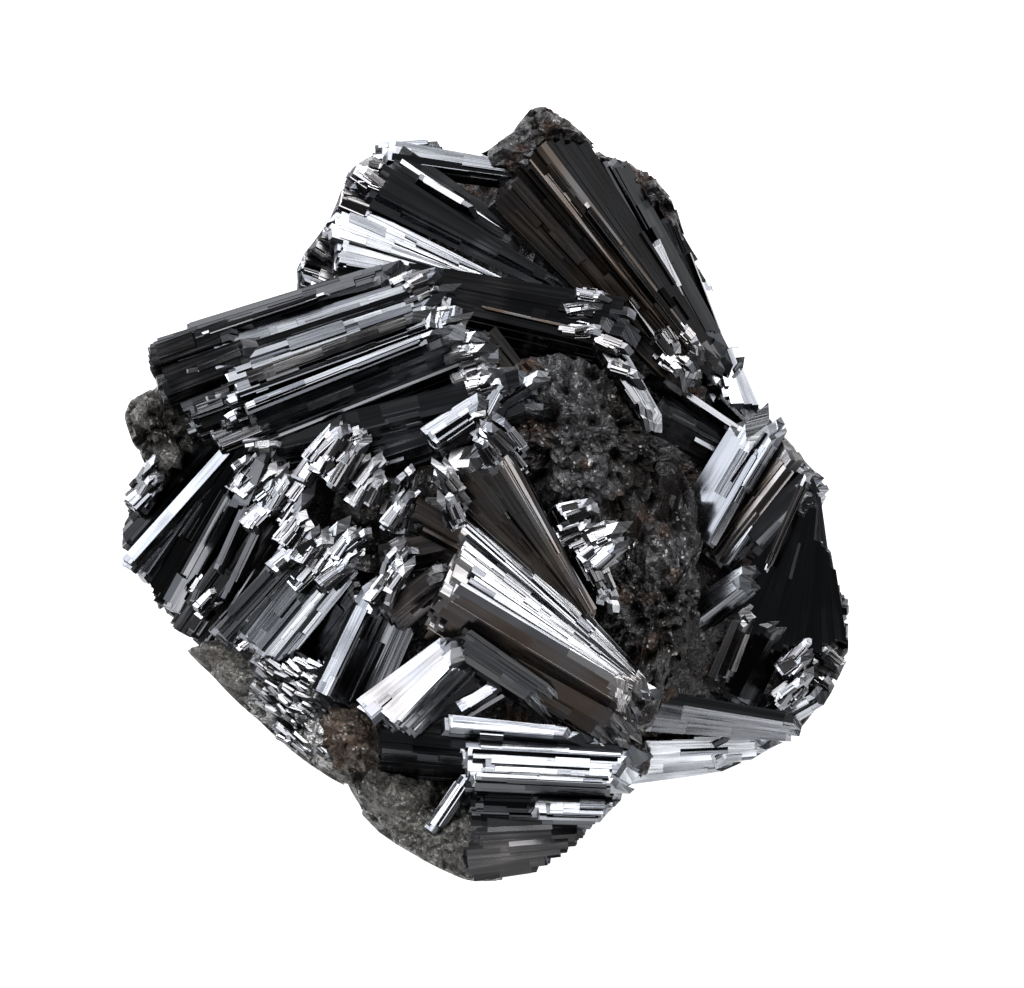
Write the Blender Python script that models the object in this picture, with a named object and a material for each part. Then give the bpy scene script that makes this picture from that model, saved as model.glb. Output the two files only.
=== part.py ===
"""Manganite specimen: sheaves of striated prisms grown together on a massive, granular base.

The specimen lies on the flat back where it was trimmed, with its crystals facing up (+Z).
The origin is the middle of that flat back. X runs to the right and Y to the top of the crystal
side, seen from above. Everything in the tables is in millimetres, and the mesh is in metres.

A sheaf is a bundle of parallel prisms with two broad facets that meet in a ridge. Its ridge runs
from root to tip. The left facet is the one on the left hand of someone looking from root to tip.
"""

import math
import random
from collections import namedtuple

import bmesh
import bpy
from mathutils import Matrix, Vector, noise

MM = 0.001
NODE_NAME = "manganite_cluster"

# Prisms of the sheaves
PRISM_SIZE = 2.5  # how wide one modelled prism is, about
MOST_PRISMS = 4  # across either facet
PRISM_OVERLAP = 0.3  # share of a prism's width that runs on under its neighbour
FACET_STEP = 0.35  # how far one prism may stand out from the next
ROOT_SLOPE = 0.3  # how far a root's end face runs on for each unit of depth
TIP_SLOPE = 0.9  # the same at the tip, whose end face looks up
LEAST_TAPER = 0.12  # a sheaf that narrows to a point keeps this share of its width
PULL_STEP = 0.3  # a prism that reaches past the specimen's outline is shortened in such steps
MOST_PULLS = 12
PULL_REACH = 1.03  # share of the outline up to which a prism's corner is moved in instead

# The specimen's outline, seen from above, anticlockwise from the right
OUTLINE = (
    (22.6, 0.1), (22.3, 0.9), (21.1, 1.8), (20.0, 3.5), (19.5, 4.8), (18.3, 6.3), (17.1, 7.5), (17.3, 8.5),
    (15.8, 11.5), (13.3, 16.5), (12.8, 17.8), (12.3, 19.7), (10.7, 21.5), (9.5, 22.1), (8.1, 22.5), (6.8, 23.6),
    (4.9, 25.3), (3.6, 25.9), (2.8, 25.6), (1.6, 24.0), (-0.1, 22.8), (-3.2, 23.3), (-5.2, 23.6), (-7.5, 23.5),
    (-7.7, 22.3), (-9.2, 21.3), (-10.2, 18.5), (-11.3, 16.8), (-12.2, 15.8), (-12.7, 14.7), (-12.5, 12.8),
    (-15.9, 12.0), (-21.4, 10.5), (-22.5, 9.8), (-22.5, 8.8), (-22.0, 7.1), (-23.9, 6.1), (-24.3, 5.1),
    (-23.9, 3.8), (-22.8, 1.5), (-24.2, -0.1), (-24.0, -1.5), (-24.7, -2.5), (-24.9, -3.7), (-24.0, -5.2),
    (-22.5, -6.2), (-22.0, -8.9), (-20.2, -10.5), (-18.4, -12.2), (-15.3, -15.2), (-13.5, -16.9), (-9.7, -19.5),
    (-8.5, -21.5), (-7.3, -22.7), (-4.7, -24.3), (-1.7, -25.8), (0.1, -26.1), (1.5, -26.1), (3.8, -24.9),
    (6.3, -22.9), (7.8, -21.2), (9.1, -19.9), (12.1, -19.6), (16.1, -18.4), (19.5, -17.0), (20.8, -16.1),
    (22.7, -13.5), (23.7, -11.4), (24.8, -10.4), (25.0, -9.7), (24.6, -7.9), (23.1, -4.9), (21.8, -2.2),
    (22.0, -1.3),
)

# Granular base, as rings from below the trimmed back upwards: level, then share of the outline
BASE_POINTS = 54
BASE_RINGS = (
    (-1.2, 0.6), (0.6, 0.68), (2.6, 0.77), (6.0, 0.86), (9.5, 0.92), (12.5, 0.92), (15.0, 0.85), (17.0, 0.7),
    (18.5, 0.45),
)

# Granular masses between the sheaves: outline seen from above, lowest level, top level, subdivisions
MASS_RIM_DROP = 1.6  # how far a mass's top falls away towards its rim
MASSES = (
    (((2.1, 8.7), (4.8, 8.8), (7.5, 8.1), (9.1, 6.8), (10.5, 4.1), (11.5, 2.1), (10.1, -0.5), (7.5, -2.5),
      (4.8, -1.5), (2.8, 1.5), (1.8, 3.5), (1.8, 6.1)), 8.0, 24.2, 3),
    (((8.8, 2.8), (12.8, 1.5), (14.1, -1.2), (14.5, -3.2), (13.5, -5.2), (14.1, -7.9), (13.5, -10.5),
      (11.8, -12.5), (11.1, -15.2), (9.1, -16.2), (9.5, -13.9), (10.1, -11.2), (7.5, -7.9), (7.8, -3.5)),
     8.0, 22.4, 3),
    (((-19.9, -10.7), (-17.2, -9.9), (-13.2, -10.9), (-10.5, -12.5), (-7.6, -13.8), (-6.2, -15.6),
      (-6.6, -17.6), (-9.7, -19.5), (-13.5, -16.9), (-17.1, -13.5)), 5.0, 21.4, 3),
    (((-9.5, -16.5), (-6.5, -17.5), (-3.2, -19.9), (-0.5, -22.5), (0.8, -25.9), (-1.7, -25.8), (-4.7, -24.3),
      (-7.3, -22.7), (-8.9, -20.5)), 4.0, 20.0, 3),
    (((-16.2, -13.3), (-15.1, -11.6), (-12.5, -10.7), (-10.9, -11.5), (-9.6, -13.9), (-9.6, -16.5),
      (-10.6, -18.2), (-12.5, -17.5), (-14.5, -15.9)), 8.0, 22.5, 2),
    (((-10.9, -14.2), (-9.2, -13.7), (-6.9, -14.7), (-5.9, -16.2), (-6.9, -18.0), (-9.2, -18.2),
      (-10.5, -16.5)),
     12.0, 23.6, 2),
    (((9.0, -16.0), (11.2, -16.4), (11.0, -18.6), (9.0, -19.4)), 8.0, 15.4, 1),
    (((-24.3, 5.1), (-23.9, 6.1), (-22.0, 7.1), (-19.0, 7.0), (-18.6, 3.5), (-21.0, 1.0), (-23.2, 2.4)),
     9.0, 22.0, 2),
    (((-0.1, 22.8), (1.6, 24.0), (2.8, 25.6), (3.6, 25.9), (4.9, 25.3), (6.8, 23.6), (5.8, 22.1), (3.5, 21.1),
      (1.1, 21.5)), 8.0, 19.0, 2),
    (((7.5, 22.8), (9.5, 22.1), (10.7, 21.5), (12.3, 19.7), (13.1, 16.8), (11.5, 17.5), (9.1, 19.1)),
     4.0, 14.6, 2),
    (((20.8, -10.9), (24.8, -9.9), (23.7, -11.4), (22.7, -13.5), (20.8, -16.1), (18.8, -13.9)), 4.0, 14.4, 2),
    (((-9.0, 1.0), (-2.0, 1.5), (1.0, -3.0), (-1.0, -8.5), (-7.0, -9.5), (-10.5, -5.0)), 12.0, 22.8, 2),
    (((-23.6, 3.4), (-20.0, 4.0), (-17.6, -2.0), (-19.5, -9.0), (-22.0, -7.5), (-23.6, -3.0)), 6.0, 17.0, 2),
    (((13.2, -5.6), (18.0, -6.5), (19.0, -12.0), (16.5, -14.5), (13.0, -14.5), (12.2, -9.5)), 6.0, 16.2, 2),
    (((-6.5, -2.5), (-2.0, 0.5), (1.5, 0.5), (4.5, -4.0), (0.5, -6.0), (-4.5, -5.5)), 12.0, 23.4, 2),
)
ROUGH_COARSE = (5.0, 1.1)  # size and height of the granular parts' lumps
ROUGH_FINE = (2.2, 1.5)  # size and height of the bosses on them, with pits between
BOSS_SHARE = 0.45  # share of a boss's size that stands out of the surface

# Sheaves on the sides, which rise and lean outwards from the trimmed back to the rim
FLANKS = 21
FLANK_REACH = (0.58, 0.95)  # share of the outline at root and tip
FLANK_LEVEL = (-1.5, 10.5)  # of root and tip
FLANK_WIDTH = (2.2, 4.4)  # of one facet, least and most
FLANK_UNEVEN = 2.5  # how far tips differ in level
FLANK_SWING = 0.16  # radians by which a tip may turn away from straight outwards
FLANK_SPREAD = 78  # degrees between a flank's two facets
FLANK_TURN = 20  # most degrees that a flank's ridge turns away from facing outwards
FLANK_TIP_RUN = 0.5
FLANK_RAGGED = (0.2, 1.2)  # how unevenly the prisms end, at root and tip

JOINT_GAP = 0.001  # corners this close are one corner

# The back is trimmed flat
TRIM_WIDTH = 80.0
TRIM_DEPTH = 20.0

Sheaf = namedtuple(
    "Sheaf",
    (
        "name",  # what the sheaf is called here
        "root",  # ridge's start: x, y, z
        "tip",  # ridge's end: x, y, z
        "left",  # left facet's width from above, at root and tip
        "right",  # right facet's width from above, at root and tip
        "lean",  # degrees by which the left facet leans over to the left
        "spread",  # degrees between the two facets' normals
        "root_run",  # how far the left and right edges run on past the root
        "tip_run",  # how far the left and right edges run on past the tip
        "ragged",  # how unevenly the prisms end, at root and tip
    ),
    defaults=((0.4, 0.4), (0.4, 0.4), (0.5, 0.5)),
)

SHEAVES = (
    # Upper left block and what grows beside it
    Sheaf("upper_left_block", (-16.6, 6.3, 26.8), (-3.9, 10.9, 27.0), (4.0, 3.4), (0.6, 0.5), 25, 80,
          root_run=(0.2, -0.3), tip_run=(-1.6, 0.3), ragged=(1.1, 0.5)),
    Sheaf("upper_left_band", (-15.8, 7.2, 26.9), (-5.2, 11.1, 27.1), (0.8, 0.7), (0.3, 0.3), 14, 75,
          ragged=(1.2, 0.6)),
    Sheaf("upper_left_step", (-15.2, 5.0, 26.2), (-3.0, 9.9, 26.6), (1.0, 0.9), (4.3, 4.5), 10, 60,
          root_run=(0.0, -0.5), tip_run=(-0.3, 1.3), ragged=(0.7, 0.4)),
    Sheaf("upper_left_rear", (-22.4, 9.2, 23.2), (-7.7, 13.9, 25.4), (1.2, 0.9), (2.2, 1.5), 50, 72),
    Sheaf("upper_left_edge", (-18.4, 10.6, 25.4), (-11.4, 12.9, 26.0), (0.15, 0.15), (0.2, 0.2), 25, 80,
          ragged=(0.2, 0.2)),
    Sheaf("left_block_rear", (-22.3, 8.3, 24.2), (-17.6, 9.9, 25.4), (1.3, 1.4), (1.2, 1.2), 8, 65,
          ragged=(0.7, 0.5)),
    Sheaf("left_block_upper", (-20.9, 6.6, 25.2), (-16.4, 8.3, 26.0), (1.7, 1.7), (1.7, 1.6), 8, 68,
          ragged=(0.8, 0.5)),
    Sheaf("left_block_middle", (-19.4, 4.9, 24.6), (-14.8, 6.6, 25.6), (1.3, 1.3), (2.1, 2.0), 12, 68,
          ragged=(0.8, 0.5)),
    Sheaf("left_block_lower", (-17.6, 3.1, 23.6), (-13.0, 4.9, 25.0), (1.3, 1.3), (1.7, 1.6), 12, 68,
          ragged=(0.6, 0.5)),
    Sheaf("lower_dark_block", (-13.4, 3.0, 24.0), (1.2, 6.5, 25.0), (1.3, 1.4), (1.7, 1.5), 3, 55,
          ragged=(0.8, 0.8)),
    Sheaf("inner_dark_block", (-9.5, 1.5, 22.6), (2.5, 5.4, 24.4), (1.6, 1.6), (1.6, 1.5), 9, 65),
    Sheaf("small_bright_block", (-3.3, 3.3, 25.2), (-1.1, 4.8, 25.6), (1.4, 1.3), (1.1, 1.0), 27, 80,
          ragged=(0.3, 0.3)),
    Sheaf("edge_plate", (-0.7, 3.8, 25.0), (0.7, 6.5, 25.2), (0.6, 0.5), (0.7, 0.6), 25, 75, ragged=(0.3, 0.3)),
    Sheaf("edge_plate_right", (0.7, 5.8, 24.8), (2.6, 7.0, 25.0), (0.7, 0.6), (0.5, 0.5), 27, 75,
          ragged=(0.3, 0.3)),
    # Fan of prisms on the left, rising from the rim to the middle
    Sheaf("outer_left_flank", (-24.1, -3.4, 19.2), (-17.0, 4.4, 22.6), (1.8, 1.4), (0.9, 0.9), 42, 75),
    Sheaf("white_blade_long", (-23.6, -4.6, 21.8), (-16.0, 3.9, 23.0), (0.7, 0.65), (0.7, 0.6), 25, 80,
          ragged=(0.2, 0.2)),
    Sheaf("white_blade_short", (-22.7, -5.4, 21.0), (-19.1, -0.2, 21.9), (0.4, 0.35), (0.5, 0.5), 25, 80,
          ragged=(0.2, 0.2)),
    Sheaf("outer_left_crystal", (-21.6, -7.4, 19.8), (-15.9, 2.8, 23.2), (1.7, 0.6), (2.0, 1.6), 8, 30),
    Sheaf("fan_white_end", (-16.0, -0.9, 23.8), (-14.9, 1.9, 24.2), (1.1, 0.5), (0.6, 0.3), 27, 80,
          ragged=(0.3, 0.1)),
    Sheaf("fan_striped", (-19.8, -9.5, 19.2), (-14.2, -1.4, 23.4), (1.6, 1.3), (1.7, 1.4), 12, 50,
          ragged=(0.4, 0.8)),
    Sheaf("fan_narrow", (-17.3, -9.7, 21.6), (-12.6, -4.6, 23.4), (1.3, 1.2), (1.5, 1.3), 24, 60,
          ragged=(0.4, 0.6)),
    Sheaf("fan_middle", (-14.9, -10.6, 22.6), (-10.7, -5.6, 24.0), (2.0, 2.2), (1.7, 1.5), 22, 50,
          ragged=(0.4, 0.8)),
    Sheaf("pillar_side", (-12.1, -12.9, 20.2), (-8.8, -8.2, 23.4), (2.0, 1.5), (0.6, 0.6), 26, 75),
    Sheaf("pillar", (-10.4, -13.6, 24.2), (-7.8, -8.1, 24.1), (1.35, 1.3), (3.3, 3.1), 25, 70,
          root_run=(0.0, 0.0), tip_run=(0.0, 1.6), ragged=(0.2, 0.3)),
    Sheaf("pillar_top", (-6.2, -8.2, 24.2), (-4.0, -6.4, 24.8), (1.1, 1.0), (1.2, 1.1), 10, 70,
          ragged=(0.3, 0.4)),
    # Short blocks in the middle
    Sheaf("pale_block", (-6.0, -15.1, 25.5), (-2.6, -11.6, 25.9), (2.7, 1.9), (1.7, 1.7), 27, 78,
          root_run=(1.3, 0.0), tip_run=(-0.3, 0.2), ragged=(0.3, 0.2)),
    Sheaf("pale_block_foot", (-3.8, -14.7, 24.0), (-0.6, -13.0, 24.2), (1.3, 1.2), (1.4, 1.2), 5, 60,
          ragged=(0.4, 0.4)),
    Sheaf("foot_white_chip", (-1.3, -14.3, 24.6), (0.4, -13.2, 24.6), (0.7, 0.4), (0.4, 0.3), 27, 75,
          ragged=(0.2, 0.2)),
    Sheaf("sunken_chip", (-6.6, -4.6, 23.2), (-2.9, -3.8, 23.6), (1.2, 1.2), (1.8, 1.6), 5, 60),
    Sheaf("brown_chip", (-4.9, -1.7, 24.2), (-2.0, -3.3, 24.4), (1.3, 1.1), (1.5, 1.3), 8, 60,
          ragged=(0.4, 0.4)),
    # Middle: the long striated block and the fan above it
    Sheaf("central_block", (-1.5, -6.4, 26.2), (8.3, -12.2, 26.1), (5.2, 1.6), (4.2, 4.6), 27, 56,
          root_run=(3.4, 0.3), tip_run=(0.4, 0.3), ragged=(0.9, 0.3)),
    Sheaf("central_plate", (-1.9, -11.0, 25.0), (2.3, -13.7, 25.0), (2.0, 1.8), (0.5, 0.5), -27, 45,
          ragged=(0.4, 0.4)),
    Sheaf("central_lower_slab", (1.2, -12.4, 25.0), (6.9, -16.0, 24.6), (1.6, 2.0), (0.4, 0.4), -28, 45,
          ragged=(0.4, 0.4)),
    Sheaf("triangle_fan", (6.7, -8.0, 25.2), (1.0, 1.6, 26.0), (0.4, 4.0), (0.3, 1.2), 20, 50,
          ragged=(0.2, 0.8)),
    Sheaf("buried_chip", (4.6, -1.2, 23.8), (7.1, -6.2, 25.0), (1.6, 1.2), (0.7, 0.5), 25, 75,
          ragged=(0.6, 0.5)),
    # Bottom
    Sheaf("bottom_top_blade", (-2.3, -15.6, 24.8), (4.3, -16.1, 24.8), (0.8, 0.6), (0.6, 0.6), 25, 75,
          root_run=(0.6, 0.4), tip_run=(0.8, 0.4), ragged=(0.3, 0.3)),
    Sheaf("bottom_dark_part", (-8.2, -16.7, 22.4), (0.0, -17.5, 23.8), (1.9, 1.8), (2.0, 1.8), 4, 55,
          ragged=(0.7, 0.4)),
    Sheaf("bottom_bright_part", (-0.6, -18.9, 25.0), (8.0, -19.3, 25.0), (2.7, 2.6), (0.9, 0.9), 25, 75,
          root_run=(0.2, 1.0), tip_run=(0.0, 0.0), ragged=(1.4, 0.2)),
    Sheaf("bottom_step", (-3.6, -20.7, 22.4), (7.3, -21.0, 22.8), (1.5, 1.5), (1.6, 1.4), 5, 55,
          ragged=(1.0, 0.4)),
    Sheaf("bottom_bright_step", (3.9, -21.3, 24.0), (7.9, -21.4, 24.0), (1.5, 1.5), (0.7, 0.7), 25, 75,
          root_run=(1.2, 0.2), tip_run=(0.3, 0.0), ragged=(0.9, 0.2)),
    Sheaf("bottom_slab", (-1.8, -22.9, 20.6), (6.0, -22.5, 20.8), (1.7, 1.4), (3.0, 2.4), 5, 18,
          tip_run=(0.3, -1.6), ragged=(0.6, 0.6)),
    Sheaf("bottom_white_sliver", (-2.6, -22.7, 19.8), (-1.3, -19.2, 20.2), (0.9, 0.7), (0.6, 0.5), 23, 75,
          ragged=(0.5, 0.4)),
    # Top left fan, narrowing to the right
    Sheaf("top_fan_upper", (-6.4, 22.2, 17.6), (1.5, 21.1, 17.8), (1.3, 1.0), (0.9, 0.8), 24, 75,
          ragged=(0.6, 0.3)),
    Sheaf("top_corner", (-8.0, 22.2, 16.4), (-4.6, 22.6, 17.2), (1.0, 0.8), (1.4, 1.2), 40, 60,
          ragged=(0.3, 0.3)),
    Sheaf("top_fan_ribbed", (-6.2, 21.1, 17.8), (0.6, 17.0, 17.8), (2.0, 1.4), (0.5, 0.5), 8, 60),
    Sheaf("top_fan_dark", (-7.3, 19.9, 18.6), (3.5, 14.3, 18.6), (1.9, 0.6), (0.8, 0.4), 3, 50),
    Sheaf("top_fan_bright", (-9.8, 15.3, 19.4), (0.2, 13.6, 19.2), (3.4, 0.5), (0.8, 0.6), 25, 78,
          ragged=(0.7, 0.2)),
    Sheaf("top_fan_lower", (-9.4, 14.6, 17.6), (0.6, 13.4, 18.0), (1.6, 0.5), (1.2, 0.6), 12, 70,
          ragged=(0.7, 0.2)),
    Sheaf("top_fan_rim", (-9.6, 19.2, 16.8), (-4.5, 17.8, 17.4), (2.4, 1.8), (0.9, 0.8), 34, 75,
          ragged=(0.6, 0.3)),
    Sheaf("top_fan_left", (-12.4, 13.8, 16.2), (-6.5, 11.6, 16.8), (4.4, 3.8), (1.2, 1.0), 26, 75,
          ragged=(0.9, 0.5)),
    Sheaf("dark_crystal", (-5.5, 12.8, 20.4), (6.8, 9.9, 21.4), (2.5, 3.4), (1.9, 1.9), 5, 55,
          ragged=(0.4, 0.9)),
    Sheaf("brown_wedge", (-0.7, 9.5, 22.2), (2.7, 5.9, 22.6), (1.9, 1.3), (1.2, 1.0), 5, 50),
    # Top crystal and its right flank
    Sheaf("top_crystal", (3.7, 22.9, 19.2), (13.5, 10.0, 20.6), (2.8, 1.2), (5.4, 3.2), 46, 60,
          root_run=(0.4, -0.9), tip_run=(0.2, 0.4), ragged=(0.5, 0.8)),
    Sheaf("top_crystal_flank", (7.9, 21.7, 16.0), (14.0, 10.6, 18.0), (1.5, 1.4), (2.0, 2.0), 52, 75,
          ragged=(0.5, 0.7)),
    Sheaf("top_right_rear", (10.2, 20.7, 12.6), (13.6, 15.6, 13.2), (1.3, 1.0), (2.4, 2.0), 35, 70),
    Sheaf("right_flank", (11.2, 17.6, 15.0), (14.1, 10.4, 16.4), (1.7, 1.5), (1.6, 1.5), 40, 70,
          ragged=(0.6, 0.6)),
    Sheaf("right_flank_lens", (11.0, 16.3, 17.2), (12.3, 13.7, 17.8), (0.7, 0.5), (0.5, 0.5), 25, 75,
          ragged=(0.2, 0.2)),
    Sheaf("white_shard", (13.1, 16.3, 11.8), (14.7, 7.2, 15.4), (1.0, 3.2), (0.6, 0.6), 12, 75,
          ragged=(0.2, 0.8)),
    Sheaf("small_white_crystal", (7.6, 9.4, 21.2), (10.1, 5.7, 21.8), (1.4, 1.0), (0.7, 0.6), 27, 80,
          ragged=(0.5, 0.4)),
    # Right group
    Sheaf("right_bar", (11.6, 7.4, 18.8), (20.6, 1.4, 18.6), (0.4, 0.35), (0.8, 0.7), 27, 75),
    Sheaf("right_dark_side", (12.0, 6.4, 18.2), (19.8, 1.0, 17.8), (0.5, 0.5), (1.2, 1.0), 10, 60),
    Sheaf("right_rim", (15.4, 6.3, 15.6), (21.6, 0.3, 15.4), (1.6, 1.4), (1.2, 1.2), 48, 75, ragged=(0.5, 0.7)),
    Sheaf("right_short_bar", (11.4, 5.4, 18.4), (16.4, 2.6, 17.8), (1.0, 1.0), (2.0, 1.7), 15, 45),
    Sheaf("right_bright_block", (14.6, -3.3, 19.6), (17.8, 2.3, 19.7), (2.7, 2.5), (0.6, 0.6), 26, 80,
          root_run=(0.6, 0.0), tip_run=(-0.2, 0.0), ragged=(0.2, 0.4)),
    Sheaf("right_bright_tip", (17.1, 0.5, 20.0), (18.7, 3.1, 20.0), (1.0, 0.8), (0.6, 0.6), 24, 75,
          ragged=(0.3, 0.5)),
    Sheaf("right_green_block", (15.4, -4.0, 18.6), (19.7, 1.5, 19.2), (1.3, 1.3), (0.8, 0.8), 22, 60),
    Sheaf("right_white_chip", (15.8, -4.8, 18.4), (17.6, -2.2, 18.6), (1.1, 1.0), (0.8, 0.8), 25, 75,
          ragged=(0.3, 0.3)),
    Sheaf("right_black_block", (17.9, -3.3, 18.4), (20.8, -0.4, 18.6), (1.3, 1.2), (1.3, 1.2), 2, 50),
    Sheaf("right_wedge", (17.6, -10.4, 17.0), (20.9, -1.6, 18.2), (2.4, 1.6), (6.6, 1.6), 12, 30,
          root_run=(0.6, -2.6), ragged=(0.4, 0.3)),
    Sheaf("right_inner_chip", (14.1, -8.4, 18.2), (16.6, -6.5, 18.4), (1.3, 1.1), (1.1, 1.0), 27, 75,
          ragged=(0.4, 0.4)),
    Sheaf("right_lower_chip", (15.7, -12.5, 17.0), (17.0, -9.2, 17.6), (0.8, 0.7), (0.9, 0.8), 24, 70,
          ragged=(0.4, 0.4)),
    Sheaf("right_lower_black", (16.8, -13.6, 16.4), (18.8, -9.9, 17.2), (1.2, 1.1), (1.4, 1.2), 2, 50,
          ragged=(0.4, 0.4)),
    Sheaf("lower_right_slab", (11.4, -14.0, 16.4), (19.9, -15.4, 16.0), (0.7, 0.5), (2.1, 1.3), 0, 26,
          ragged=(0.4, 0.5)),
    Sheaf("lower_right_foot", (9.6, -16.7, 14.6), (17.6, -16.6, 14.6), (0.4, 0.4), (2.9, 1.9), 53, 80,
          root_run=(0.0, 0.4), tip_run=(0.0, 0.2), ragged=(0.3, 0.3)),
    Sheaf("lower_right_heel", (15.4, -17.0, 14.4), (21.2, -11.9, 14.6), (0.4, 0.3), (1.7, 1.1), 53, 80,
          root_run=(0.0, 0.4), tip_run=(0.0, 0.2), ragged=(0.3, 0.3)),
)

# Small stepped crystals where sheaves end, in fields: a field's middle, its half-sizes seen from above, how
# many crystals, the azimuth of their axes and their lean in degrees, and their size
CHIP_FIELDS = (
    ((-3.8, 12.0, 26.3), (1.2, 1.4), 5, 18, 26, 1.5),
    ((-1.6, 8.4, 25.7), (1.0, 1.6), 5, 18, 26, 1.5),
    ((-18.2, 6.0, 25.2), (2.4, 2.4), 4, 20, 16, 1.3),
    ((-13.6, -0.7, 24.0), (1.9, 1.3), 6, 52, 25, 1.6),
    ((-10.6, 2.1, 25.2), (1.5, 1.0), 5, 48, 26, 1.7),
    ((-8.2, 0.3, 24.6), (0.9, 0.7), 2, 60, 25, 1.6),
    ((-6.0, -0.9, 24.2), (0.7, 1.4), 3, 66, 25, 1.4),
    ((-13.1, -3.6, 24.2), (0.7, 1.4), 3, 52, 26, 1.5),
    ((-10.6, -4.6, 25.0), (1.7, 1.4), 6, 45, 27, 1.8),
    ((-6.6, -5.9, 25.0), (0.9, 1.0), 3, 62, 26, 1.5),
    ((-4.3, -2.8, 23.8), (1.9, 1.8), 3, 20, 8, 1.6),
    ((-0.8, 0.9, 25.9), (1.8, 1.6), 5, 120, 51, 1.5),
    ((6.0, 12.0, 21.4), (0.8, 1.8), 4, 0, 18, 1.4),
    ((11.8, 9.8, 20.8), (1.3, 1.4), 4, -42, 24, 1.5),
)
CHIP_LEVEL = (-0.5, 0.2)  # how far below or above the field's middle they lie
CHIP_TURN = 14  # degrees by which a chip may turn from its field's azimuth
CHIP_RISE = 0.14  # most that one rises for each unit of length
CHIP_LENGTH = (0.9, 1.7)  # shares of the size, least and most
CHIP_WIDTH = (0.5, 1.0)  # of one facet, as shares of the size
CHIP_TAPER = 0.85  # a chip's width at the tip as a share of that at the root
CHIP_SPREAD = 76  # degrees between a chip's two facets
CHIP_RUN = 0.2
CHIP_RAGGED = 0.15


Bundle = namedtuple("Bundle", "root length along left_run right_run falls left_widths right_widths")


def direction(axis_up, axis_left, degrees):
    """The direction across a sheaf that leans by this many degrees from up to its left."""
    turn = math.radians(degrees)
    return axis_up * math.cos(turn) + axis_left * math.sin(turn)


def bundle_between(root, tip, lean, spread, left_widths, right_widths):
    """A bundle whose ridge runs from root to tip, with the directions in which its facets fall away."""
    along = tip - root
    length = along.length
    along.normalize()
    axis_left = Vector((0, 0, 1)).cross(along).normalized()
    axis_up = along.cross(axis_left)
    left_run = direction(axis_up, axis_left, lean + 90)
    right_run = direction(axis_up, axis_left, lean - spread - 90)
    falls = (-left_run.dot(axis_up), -right_run.dot(axis_up))
    return Bundle(root, length, along, left_run, right_run, falls, left_widths, right_widths)


def sheaf_bundle(sheaf):
    """A sheaf's bundle, with true widths worked out from those that show from above."""
    left_widths = [width / math.cos(math.radians(sheaf.lean)) for width in sheaf.left]
    right_widths = [width / math.cos(math.radians(sheaf.lean - sheaf.spread)) for width in sheaf.right]
    root, tip = Vector(sheaf.root), Vector(sheaf.tip)
    return bundle_between(root, tip, sheaf.lean, sheaf.spread, left_widths, right_widths)


def blend(pair, share):
    """A width part of the way from root to tip, never under a small share of the wider end."""
    return max(pair[0] + (pair[1] - pair[0]) * share, LEAST_TAPER * max(pair))


def cuts(width):
    """Evenly spaced shares from 0 to 1 that part a facet into prisms."""
    count = max(1, min(MOST_PRISMS, round(width / PRISM_SIZE)))
    return [i / count for i in range(count + 1)]


def outline_radius(outline, angle):
    """An outline's distance from the origin in one direction, straight between its points."""
    polar = sorted((math.atan2(y, x) % math.tau, math.hypot(x, y)) for x, y in outline)
    angle %= math.tau
    before = [p for p in polar if p[0] <= angle] or [(polar[-1][0] - math.tau, polar[-1][1])]
    after = [p for p in polar if p[0] > angle] or [(polar[0][0] + math.tau, polar[0][1])]
    (low_angle, low), (high_angle, high) = before[-1], after[0]
    return low + (high - low) * (angle - low_angle) / (high_angle - low_angle)


def reach(point):
    """How far out a point lies, as a share of the specimen's outline there."""
    return math.hypot(point.x, point.y) / outline_radius(OUTLINE, math.atan2(point.y, point.x))


def held_in(point):
    """The point, or the nearest one straight inwards that the outline still covers."""
    share = max(reach(point), 1.0)
    return Vector((point.x / share, point.y / share, point.z))


def end_corners(bundle, left_span, right_span, lift, end, outward):
    """The four corners of one end of a prism. The spans are shares of the two facets, lift is how far
    the prism stands out of them, end is where along the ridge, and outward is -1 at the root."""
    corners = []
    for left_share, left_lift in ((left_span[0], lift[1]), (left_span[1], 0)):
        for right_share, right_lift in ((right_span[0], lift[0]), (right_span[1], 0)):
            share = end / bundle.length
            low = (left_share - left_span[0]) * blend(bundle.left_widths, share) * bundle.falls[0]
            low += (right_share - right_span[0]) * blend(bundle.right_widths, share) * bundle.falls[1]
            at = end + (TIP_SLOPE if outward > 0 else -ROOT_SLOPE) * low
            share = at / bundle.length
            across = left_share * blend(bundle.left_widths, share) - left_lift
            down = right_share * blend(bundle.right_widths, share) - right_lift
            corners.append(bundle.root + bundle.along * at + bundle.left_run * across + bundle.right_run * down)
    return corners


def add_prism(mesh, bundle, left_span, right_span, lift, ends):
    """Adds one prism of a bundle, shortened where it would reach past the specimen's outline."""
    corners = []
    for end, outward in zip(ends, (-1, 1)):
        for pull in range(MOST_PULLS):
            pulled = end - outward * pull * PULL_STEP
            found = end_corners(bundle, left_span, right_span, lift, pulled, outward)
            if max(reach(corner) for corner in found) <= PULL_REACH:
                break
        corners += [mesh.verts.new(held_in(corner) * MM) for corner in found]
    quads = ((0, 1, 3, 2), (4, 6, 7, 5), (0, 4, 5, 1), (2, 3, 7, 6), (0, 2, 6, 4), (1, 5, 7, 3))
    faces = [mesh.faces.new([corners[i] for i in quad]) for quad in quads]
    bmesh.ops.recalc_face_normals(mesh, faces=faces)


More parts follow.
